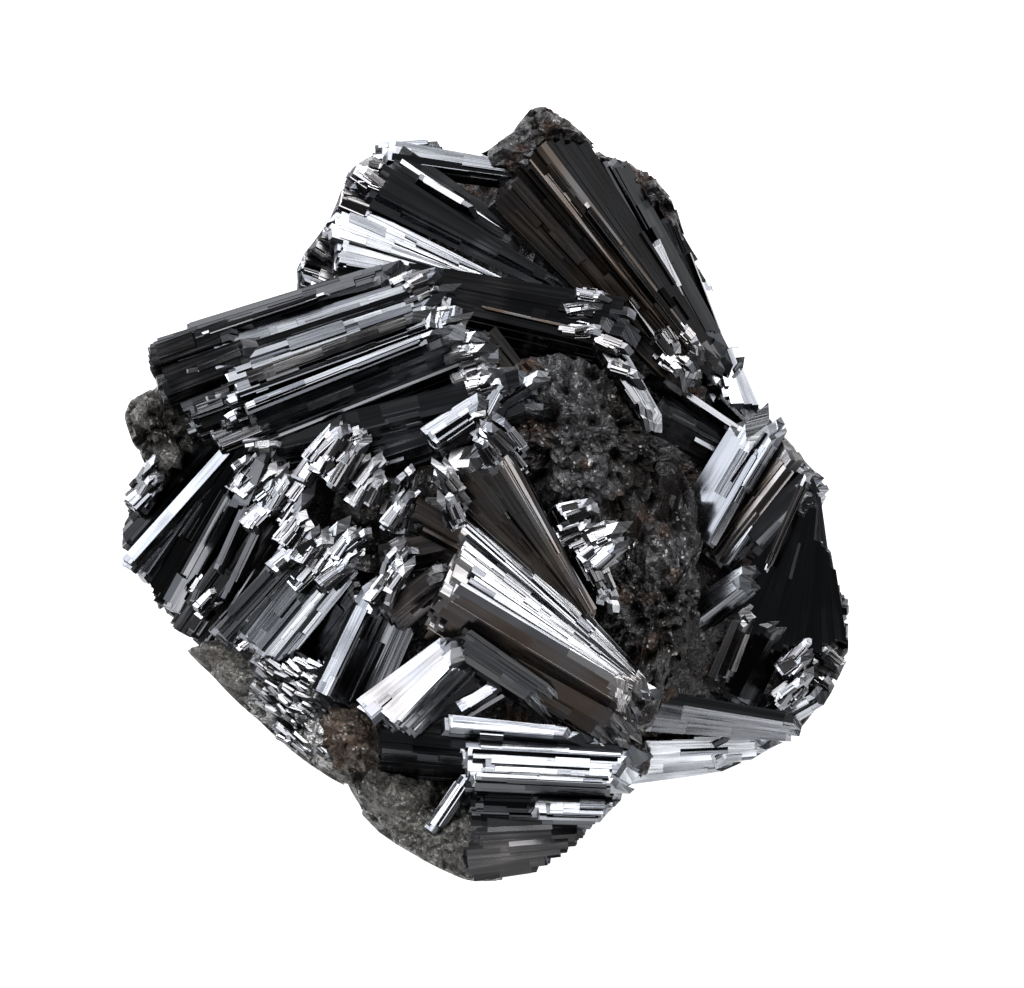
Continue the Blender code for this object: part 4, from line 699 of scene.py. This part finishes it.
def add_cells(growth, bundle, shape, chance, look):
    """Fills a bundle with prisms of uneven size, whose ends make its stepped tip and root."""
    left, right = bundle.facets
    up = bundle.along.cross(bundle.axis_left)
    falls = [-facet.run.dot(up) * facet.width for facet in bundle.facets]
    left_cuts, right_cuts = [random_cuts(chance, facet.width, CELL_WIDTHS) for facet in bundle.facets]
    brown = END_BROWN * max(look.brown)
    for i, left_start in enumerate(left_cuts[:-1]):
        for j, right_start in enumerate(right_cuts[:-1]):
            spans = ((left_start, left_cuts[i + 1]), (right_start, right_cuts[j + 1]))
            ends = ends_at(bundle, shape, chance, sum(spans[0]) / 2, sum(spans[1]) / 2)

            def place(at, left_share, right_share):
                share = at / bundle.length
                across = left.run * (left_share * blend(left.widths, share))
                down = right.run * (right_share * blend(right.widths, share))
                return bundle.root + bundle.along * at + across + down

            kept = shortened(bundle, lambda at: [place(at, a, b) for a in spans[0] for b in spans[1]], ends)
            if kept is None:
                continue
            corners, grains = [], []
            code = chance.uniform(0, GRAIN_CODES)
            tilt = chance.uniform(-CELL_TILT, CELL_TILT), chance.uniform(-CELL_TILT, CELL_TILT)
            slopes = (-ROOT_SLOPE, tip_slope(bundle, chance))
            for end, cap_slope in zip(kept, slopes):
                for a in spans[0]:
                    for b in spans[1]:
                        low = (a - spans[0][0]) * falls[0] + (b - spans[1][0]) * falls[1]
                        slope = cap_slope * low
                        slope += tilt[0] * (a > spans[0][0]) + tilt[1] * (b > spans[1][0])
                        corners.append(held_in(place(end + slope, a, b), MOST_REACH))
                        grains.append((a * left.width + RIGHT_GRAIN * b * right.width, end, code))
            growth.add_block(corners, grains, (brown, chance.random(), 1.0), look.shine[2])


def pick_tilt(chance, calm):
    """A rib's tilt in degrees: mostly flat, at times one of the steeper faces of the same zone."""
    roll = chance.random()
    if chance.random() < calm:
        return 0
    for degrees, share in RIB_TILTS:
        roll -= share
        if roll <= 0:
            return degrees
    return 0


def add_strip(growth, bundle, side, span, stretch, lifts, chance, look):
    """Adds a rib or plate on a facet. The span is shares of the facet, the stretch is along the ridge,
    and the lifts are how far its two edges stand out."""
    facet = bundle.facets[side]
    depth = min(RIB_DEPTH, facet.other_width)

    def place(at, share, lift):
        width = share * blend(facet.widths, at / bundle.length)
        offset = facet.normal * lift if lift >= 0 else facet.down * -lift
        return bundle.root + bundle.along * at + facet.run * width + offset

    kept = shortened(bundle, lambda at: [place(at, a, 0) for a in span], stretch)
    if kept is None:
        return
    corners, grains = [], []
    code = chance.uniform(0, GRAIN_CODES)
    for end, outward in zip(kept, (-1, 1)):
        for a, lift in zip(span, lifts):
            for height in (max(lift, 0.0), -depth):
                slope = outward * ROOT_SLOPE * (TOP_SLOPE if height >= 0 else depth) / 2
                corners.append(held_in(place(end + slope, a, height), MOST_REACH))
                grains.append((a * facet.width * facet.grain_scale, end, code))
    calm = look.calm[side]
    evenness = EVEN_SHADE * calm
    shade = chance.random() * (1 - evenness) + EVEN_LEVEL * evenness
    growth.add_block(corners, grains, (look.brown[side], shade, -calm), look.shine[side])


def add_ribs(growth, bundle, shape, chance, look, side):
    """Covers a facet with striations: ribs of uneven width, lift and tilt, stepped along their length.
    On a calm facet they are wide, flat and long."""
    width, calm = bundle.facets[side].width, look.calm[side]
    cuts = random_cuts(chance, width, [size * (1 + CALM_WIDTH * calm) for size in RIB_WIDTHS])
    lively = 1 - CALM_FLATNESS * calm
    mean = RIB_SEGMENT * (1 + CALM_LENGTH * calm)
    for start, stop in zip(cuts, cuts[1:]):
        ends = facet_ends(bundle, shape, chance, side, start)
        ends = (ends[0] + RIB_INSET, ends[1] - RIB_INSET)
        turned = pick_tilt(chance, calm) if (stop - start) * width < WIDEST_TILTED else 0
        tilt = math.tan(math.radians(turned + chance.uniform(-RIB_TURN, RIB_TURN) * lively))
        tilt *= (stop - start) * width / 2
        base = abs(tilt) + chance.random() * RIB_LIFT * lively
        breaks = [ends[0]]
        while breaks[-1] < ends[1]:
            breaks.append(breaks[-1] + chance.expovariate(1 / mean) + LEAST_SEGMENT)
        breaks[-1] = ends[1]
        for low, high in zip(breaks, breaks[1:]):
            if high - low < SHORTEST_RIB:
                continue
            rise = base + chance.choice(RIB_STEPS) * lively
            lifts = (rise - tilt, rise + tilt)
            add_strip(growth, bundle, side, (start, stop), (low, high), lifts, chance, look)


def add_plates(growth, bundle, shape, chance, look, side, density):
    """Adds raised plates on a facet, parallel to its ribs."""
    width = bundle.facets[side].width
    for _ in range(round(density * width * bundle.length)):
        size = min(chance.uniform(*PLATE_WIDTH), width)
        start = chance.uniform(0, 1 - size / width)
        length = chance.uniform(*PLATE_LENGTH)
        low = chance.uniform(-PLATE_OVERHANG, max(bundle.length - length * PLATE_HELD, LEAST_PLATE_ROOM))
        lift = chance.uniform(*PLATE_LIFT)
        tilt = math.tan(math.radians(chance.uniform(-PLATE_TURN, PLATE_TURN))) * size / 2
        ends = facet_ends(bundle, shape, chance, side, start)
        stretch = (max(low, ends[0]), min(low + length, ends[1]))
        if stretch[1] - stretch[0] > SHORTEST_PLATE:
            span = (start, start + size / width)
            add_strip(growth, bundle, side, span, stretch, (lift - tilt, lift + tilt), chance, look)


def add_crystals(growth, name, bundle, runs, ragged, look, density=PLATE_DENSITY):
    """Adds one sheaf in full detail. Its name is the seed of what is left to chance."""
    chance = random.Random(name)
    shape = (*runs, ragged, chance.uniform(0, WAVE_SEEDS))
    add_cells(growth, bundle, shape, chance, look)
    for side, calm in enumerate(look.calm):
        add_ribs(growth, bundle, shape, chance, look, side)
        add_plates(growth, bundle, shape, chance, look, side, density * (1 - CALM_BARENESS * calm))


def chip_bundles(name, fields):
    """The small stepped crystals of one group of fields, as names and bundles."""
    chance = random.Random(name)
    for field, (centre, half, count, azimuth, lean, size) in enumerate(fields):
        for k in range(count):
            shift = Vector((chance.uniform(-half[0], half[0]), chance.uniform(-half[1], half[1]),
                            chance.uniform(*CHIP_LEVEL)))
            turn = math.radians(azimuth + chance.uniform(-CHIP_TURN, CHIP_TURN))
            along = Vector((math.cos(turn), math.sin(turn), chance.uniform(0.0, CHIP_RISE)))
            middle = Vector(centre) + shift
            half_length = along * (size * chance.uniform(*CHIP_LENGTH) / 2)
            widths = [size * chance.uniform(*CHIP_WIDTH) for _ in range(2)]
            leaning = lean + chance.uniform(-CHIP_LEAN, CHIP_LEAN)
            pairs = [(width, width * CHIP_TAPER) for width in widths]
            ends = (middle - half_length, middle + half_length)
            yield f"{name}_{field}_{k}", bundle_between(*ends, leaning, CHIP_SPREAD, *pairs)


def flank_bundles():
    """The sheaves on the sides, at even turns around the back and otherwise uneven."""
    chance = random.Random("flanks")
    for k in range(FLANKS):
        angle = math.tau * (k + chance.uniform(-FLANK_SHIFT, FLANK_SHIFT)) / FLANKS
        swung = angle + chance.uniform(-FLANK_SWING, FLANK_SWING)
        ends = []
        for turned, share, level in zip((angle, swung), FLANK_REACH, FLANK_LEVEL):
            radius = radius_at(OUTLINE_TABLE, turned) * share
            ends.append(Vector((math.cos(turned) * radius, math.sin(turned) * radius, level)))
        ends[1].z += chance.uniform(-FLANK_UNEVEN, FLANK_UNEVEN)
        left, right = chance.uniform(*FLANK_WIDTH), chance.uniform(*FLANK_WIDTH)
        lean = 180 + FLANK_SPREAD / 2 + chance.uniform(-FLANK_TURN, FLANK_TURN)
        yield f"flank_{k}", bundle_between(*ends, lean, FLANK_SPREAD, (left, left), (right, right))


def relief_at(point, pitted=1.0):
    """How far the surface stands out at a point: lumps, bosses, pits and grains."""
    lift = sum(noise.noise(point / size) * height for size, height in ROUGH)
    for size, height in BOSSES:
        lift += (BOSS_SHARE - noise.voronoi(point / size)[0][0]) * height
    for size, depth, least in PITS:
        lift -= max(noise.noise(point / size + PIT_SHIFT) - least, 0) * depth * pitted
    return lift


def granular_piece(name, mesh, material):
    """Makes a granular mesh one object."""
    data = bpy.data.meshes.new(name)
    mesh.to_mesh(data)
    mesh.free()
    new_object(name, data, material)


def add_mass(mesh, outline, bottom, top, subdivisions, pitted):
    """Adds a granular mass: a sphere of even triangles pressed into a drum of this outline."""
    centre = Vector((sum(x for x, _ in outline), sum(y for _, y in outline), 0)) / len(outline)
    table = polar_table([(x - centre.x, y - centre.y) for x, y in outline])
    relief = mesh.verts.layers.float.get("relief") or mesh.verts.layers.float.new("relief")
    made = bmesh.ops.create_icosphere(mesh, subdivisions=subdivisions, radius=1)
    for vertex in made["verts"]:
        outward = vertex.co.normalized()
        flat = math.hypot(outward.x, outward.y)
        most = max(flat, abs(outward.z))
        share, rise = flat / most, outward.z / most
        level = (bottom + top) / 2 + rise * (top - bottom) / 2 - MASS_RIM_DROP * share ** 3
        angle = math.atan2(outward.y, outward.x)
        radius = radius_at(table, angle) * share
        point = centre + Vector((math.cos(angle) * radius, math.sin(angle) * radius, level))
        lift = relief_at(point, pitted)
        # the lift is kept so that the granular material can paint shade into the low places
        vertex[relief] = lift
        vertex.co = held_in(point + outward * lift) * MM


def base_profile(share):
    """Level and share of the outline part of the way along the base's profile, from under to top."""
    place = share * (len(BASE_RINGS) - 1)
    k = min(int(place), len(BASE_RINGS) - 2)
    (low_z, low_r), (high_z, high_r) = BASE_RINGS[k], BASE_RINGS[k + 1]
    return low_z + (high_z - low_z) * (place - k), low_r + (high_r - low_r) * (place - k)


def base_piece(material):
    """The granular base with its flat trimmed back."""
    mesh = bmesh.new()
    relief = mesh.verts.layers.float.new("relief")
    rows = []
    for i in range(BASE_ROWS + 1):
        level, share = base_profile(i / BASE_ROWS)
        row = []
        for k in range(BASE_POINTS):
            angle = math.tau * k / BASE_POINTS
            across = Vector((math.cos(angle), math.sin(angle), 0))
            point = across * radius_at(OUTLINE_TABLE, angle) * share + Vector((0, 0, level))
            lift = relief_at(point) if level > 0 else 0.0
            row.append(mesh.verts.new(held_in(point + across * lift) * MM if lift else point * MM))
            # the lift is kept so that the granular material can paint shade into the low places
            row[-1][relief] = lift
        rows.append(row)
    for lower, upper in zip(rows, rows[1:]):
        for k in range(BASE_POINTS):
            after = (k + 1) % BASE_POINTS
            mesh.faces.new((lower[k], lower[after], upper[after], upper[k]))
    bmesh.ops.remove_doubles(mesh, verts=mesh.verts, dist=1e-7)
    bmesh.ops.recalc_face_normals(mesh, faces=mesh.faces)
    granular_piece("granular_base", mesh, material)


class Nodes:
    """Short ways to build a new material's node tree."""

    def __init__(self, name):
        self.material = bpy.data.materials.new(name)
        self.material.use_nodes = True
        self.tree = self.material.node_tree
        self.shader = self.tree.nodes["Principled BSDF"]

    def add(self, kind, **values):
        node = self.tree.nodes.new(kind)
        for name, value in values.items():
            setattr(node, name, value)
        return node

    def feed(self, socket, value):
        if isinstance(value, bpy.types.NodeSocket):
            self.tree.links.new(value, socket)
        else:
            socket.default_value = value

    def math(self, operation, a, b, clamp=False):
        node = self.add("ShaderNodeMath", operation=operation, use_clamp=clamp)
        self.feed(node.inputs[0], a)
        self.feed(node.inputs[1], b)
        return node.outputs[0]

    def stretch(self, vector, by):
        node = self.add("ShaderNodeVectorMath", operation="MULTIPLY")
        self.feed(node.inputs[0], vector)
        node.inputs[1].default_value = by
        return node.outputs[0]

    def split(self, vector):
        node = self.add("ShaderNodeSeparateXYZ")
        self.feed(node.inputs[0], vector)
        return node.outputs

    def noise(self, vector, scale, detail, rough):
        node = self.add("ShaderNodeTexNoise")
        for name, value in (("Vector", vector), ("Scale", scale), ("Detail", detail), ("Roughness", rough)):
            self.feed(node.inputs[name], value)
        return node.outputs["Fac"]

    def span(self, value, low, high, to_low=0.0, to_high=1.0):
        """A smooth step: what lies from low to high is brought to the other two values."""
        node = self.add("ShaderNodeMapRange", interpolation_type="SMOOTHSTEP")
        names = ("Value", "From Min", "From Max", "To Min", "To Max")
        for name, number in zip(names, (value, low, high, to_low, to_high)):
            self.feed(node.inputs[name], number)
        return node.outputs["Result"]

    def mix(self, share, a, b):
        """A colour between two others, which are sockets or plain colours."""
        node = self.add("ShaderNodeMix", data_type="RGBA")
        self.feed(node.inputs["Factor"], share)
        for socket, colour in zip(node.inputs[6:8], (a, b)):
            self.feed(socket, (*colour, 1) if isinstance(colour, tuple) else colour)
        return node.outputs[2]

    def bump(self, height, strength, distance, normal=None):
        node = self.add("ShaderNodeBump")
        for name, value in (("Strength", strength), ("Distance", distance), ("Height", height)):
            self.feed(node.inputs[name], value)
        if normal is not None:
            self.feed(node.inputs["Normal"], normal)
        return node.outputs["Normal"]


def crystal_material():
    """Iron-black crystal with a submetallic lustre, fine striations and a brown tarnish in places."""
    nodes = Nodes("striated_manganite")
    grain, tone = [nodes.add("ShaderNodeAttribute", attribute_name=name).outputs["Vector"]
                   for name in ("grain", "tone")]
    # painted light and shade: a brightness given per facet scales the colour, so facets look lit or shaded
    shine = nodes.add("ShaderNodeAttribute", attribute_name="shine").outputs["Fac"]
    brown, shade, cell = nodes.split(tone)
    place = nodes.add("ShaderNodeTexCoord").outputs["Object"]
    relief = nodes.span(cell, -1.0, -0.3, 0.35, 1.0)
    fine = nodes.noise(nodes.stretch(grain, (18.0, 0.4, 1.0)), 1.0, 1.0, 0.6)
    broad = nodes.noise(nodes.stretch(grain, (3.8, 0.17, 1.0)), 1.0, 1.0, 0.5)
    patch = nodes.noise(place, 280.0, 1.0, 0.6)
    tarnish = nodes.math("MULTIPLY", brown, nodes.span(patch, 0.3, 0.62, 0.35, 1.0), clamp=True)
    steel, rust = nodes.mix(shade, *STEEL), nodes.mix(shade, *RUST)
    scaled = nodes.add("ShaderNodeVectorMath", operation="SCALE")
    nodes.feed(scaled.inputs[0], nodes.mix(tarnish, steel, rust))
    nodes.feed(scaled.inputs["Scale"], shine)
    nodes.feed(nodes.shader.inputs["Base Color"], scaled.outputs[0])
    nodes.shader.inputs["Metallic"].default_value = 1.0
    rough = nodes.span(broad, 0.3, 0.7, 0.13, 0.26)
    rough = nodes.math("ADD", rough, nodes.span(patch, 0.45, 0.75, 0.0, 0.12))
    rough = nodes.math("ADD", rough, nodes.math("MULTIPLY", brown, 0.10))
    rough = nodes.math("ADD", rough, nodes.math("MULTIPLY", cell, 0.06))
    nodes.feed(nodes.shader.inputs["Roughness"], rough)
    normal = nodes.bump(nodes.math("MULTIPLY", broad, relief), 0.55, 0.00004)
    normal = nodes.bump(nodes.math("MULTIPLY", fine, relief), 0.5, 0.000012, normal)
    nodes.feed(nodes.shader.inputs["Normal"], normal)
    return nodes.material


def granular_material(name, dark, light, red_share, metallic, rough_range):
    """Massive granular manganite: dull dark grey, glinting grains, red-brown pits, painted shade in hollows.
    """
    nodes = Nodes(name)
    place = nodes.add("ShaderNodeTexCoord").outputs["Object"]
    relief = nodes.add("ShaderNodeAttribute", attribute_name="relief").outputs["Fac"]
    cells = nodes.add("ShaderNodeTexVoronoi")
    nodes.feed(cells.inputs["Vector"], place)
    cells.inputs["Scale"].default_value = GRAINS_PER_METRE
    grain, roughness, glint = nodes.split(cells.outputs["Color"])
    weathered = nodes.span(nodes.split(place)[2], *WEATHERED_FROM)
    grey = nodes.mix(weathered, nodes.mix(grain, *GRANULAR_GREY), nodes.mix(grain, dark, light))
    patch = nodes.noise(place, 320.0, 2.0, 0.6)
    colour = nodes.mix(nodes.span(patch, 0.52, 0.66, 0.0, red_share), grey, nodes.mix(grain, *GRANULAR_RED))
    # painted shade: the lower the relief, the more the colour goes to near black, in pits and between bosses
    colour = nodes.mix(nodes.span(relief, -0.75, 0.05, 0.9, 0.0), colour, PAINTED_PIT_SHADE)
    clump = nodes.span(nodes.noise(place, 900.0, 0.0, 0.6), 0.42, 0.62, 0.0, 0.75)
    bright = nodes.math("MULTIPLY", nodes.span(glint, 0.90, 0.98), clump)
    bright = nodes.math("MULTIPLY", bright, nodes.span(weathered, 0.0, 1.0, 0.35, 1.0))
    nodes.feed(nodes.shader.inputs["Base Color"], nodes.mix(bright, colour, GLINT))
    nodes.shader.inputs["Metallic"].default_value = metallic
    nodes.feed(nodes.shader.inputs["Roughness"], nodes.span(roughness, 0.0, 1.0, *rough_range))
    fine = nodes.noise(place, 7000.0, 1.0, 0.7)
    nodes.feed(nodes.shader.inputs["Normal"], nodes.bump(fine, 0.9, 0.00007))
    return nodes.material


def build_crystals():
    """The sheaves, the crystals on the flanks and the broken ends."""
    crystal = crystal_material()
    for name, sheaves in SHEAVES.items():
        growth = Growth()
        for row in sheaves:
            add_crystals(growth, row.name, sheaf_bundle(row), (row.root_run, row.tip_run), row.ragged,
                         Look(row.brown, row.calm, row.shine))
        growth.piece(name, crystal)
    growth = Growth()
    for name, bundle in flank_bundles():
        add_crystals(growth, name, bundle, FLANK_RUNS, FLANK_RAGGED, FLANK_LOOK, FLANK_PLATES)
    growth.piece("flank_crystals", crystal)
    for group, fields in CHIP_FIELDS.items():
        growth = Growth()
        for name, bundle in chip_bundles(group, fields):
            add_crystals(growth, name, bundle, CHIP_RUNS, CHIP_RAGGED, CHIP_LOOK)
        growth.piece(group, crystal)


def build_granular():
    """The granular base and the masses on it."""
    materials = {name: granular_material(name, *look) for name, look in GRANULAR_LOOKS.items()}
    base_piece(materials["granular_manganite"])
    for name, masses in MASSES.items():
        mesh = bmesh.new()
        for outline, bottom, top, subdivisions in masses:
            add_mass(mesh, outline, bottom, top, subdivisions, PITTED.get(name, 1.0))
        granular_piece(name, mesh, materials[MASS_LOOKS.get(name, "granular_manganite")])


def build_floor():
    """A pale plane just under the specimen."""
    size = FLOOR_SIZE / 2
    corners = [(x, y, FLOOR_LEVEL) for x, y in ((-size, -size), (size, -size), (size, size), (-size, size))]
    data = bpy.data.meshes.new("floor")
    data.from_pydata(corners, [], [(0, 1, 2, 3)])
    floor = bpy.data.objects.new("floor", data)
    bpy.context.scene.collection.objects.link(floor)
    paint = Nodes("pale_floor")
    looks = {"Base Color": FLOOR_COLOUR, "Roughness": 0.9, "Specular IOR Level": 0.0,
             "Emission Color": (1, 1, 1, 1), "Emission Strength": FLOOR_GLOW}
    for name, value in looks.items():
        paint.shader.inputs[name].default_value = value
    data.materials.append(paint.material)


def build_light():
    """The soft boxes, each turned to the specimen, and a faint grey world."""
    for azimuth, zenith, width, height, radiance, colour in SOFT_BOXES:
        light = bpy.data.lights.new("soft_box", "AREA")
        light.shape = "RECTANGLE"
        light.size, light.size_y = width, height
        light.energy = radiance * math.pi * width * height
        light.color = colour
        made = bpy.data.objects.new("soft_box", light)
        bpy.context.scene.collection.objects.link(made)
        turn, tilt = math.radians(azimuth), math.radians(zenith)
        towards = Vector((math.cos(turn) * math.sin(tilt), math.sin(turn) * math.sin(tilt), math.cos(tilt)))
        made.location = towards * LIGHT_DISTANCE
        made.rotation_euler = (-towards).to_track_quat("-Z", "Y").to_euler()
    world = bpy.data.worlds.new("studio")
    bpy.context.scene.world = world
    world.use_nodes = True
    world.node_tree.nodes["Background"].inputs[0].default_value = (WORLD_LIGHT, WORLD_LIGHT, WORLD_LIGHT, 1)


def build_camera():
    """A camera that looks straight down, with the specimen where the photo has it."""
    camera = bpy.data.cameras.new("camera")
    camera.sensor_width = SENSOR_WIDTH
    camera.lens = camera.sensor_width * CAMERA_DISTANCE / (IMAGE_WIDTH / PIXELS_PER_MM * MM)
    camera.clip_start, camera.clip_end = CLIP_RANGE
    eye = bpy.data.objects.new("camera", camera)
    bpy.context.scene.collection.objects.link(eye)
    across = (IMAGE_CENTRE[0] - PHOTO_CENTRE[0]) / PIXELS_PER_MM
    up = (PHOTO_CENTRE[1] - IMAGE_CENTRE[1]) / PIXELS_PER_MM
    eye.location = Vector((across, up, FOCUS_LEVEL)) * MM + Vector((0, 0, CAMERA_DISTANCE))
    bpy.context.scene.camera = eye
    bpy.context.scene.view_settings.view_transform = "Standard"


build_crystals()
build_granular()
build_floor()
build_light()
build_camera()
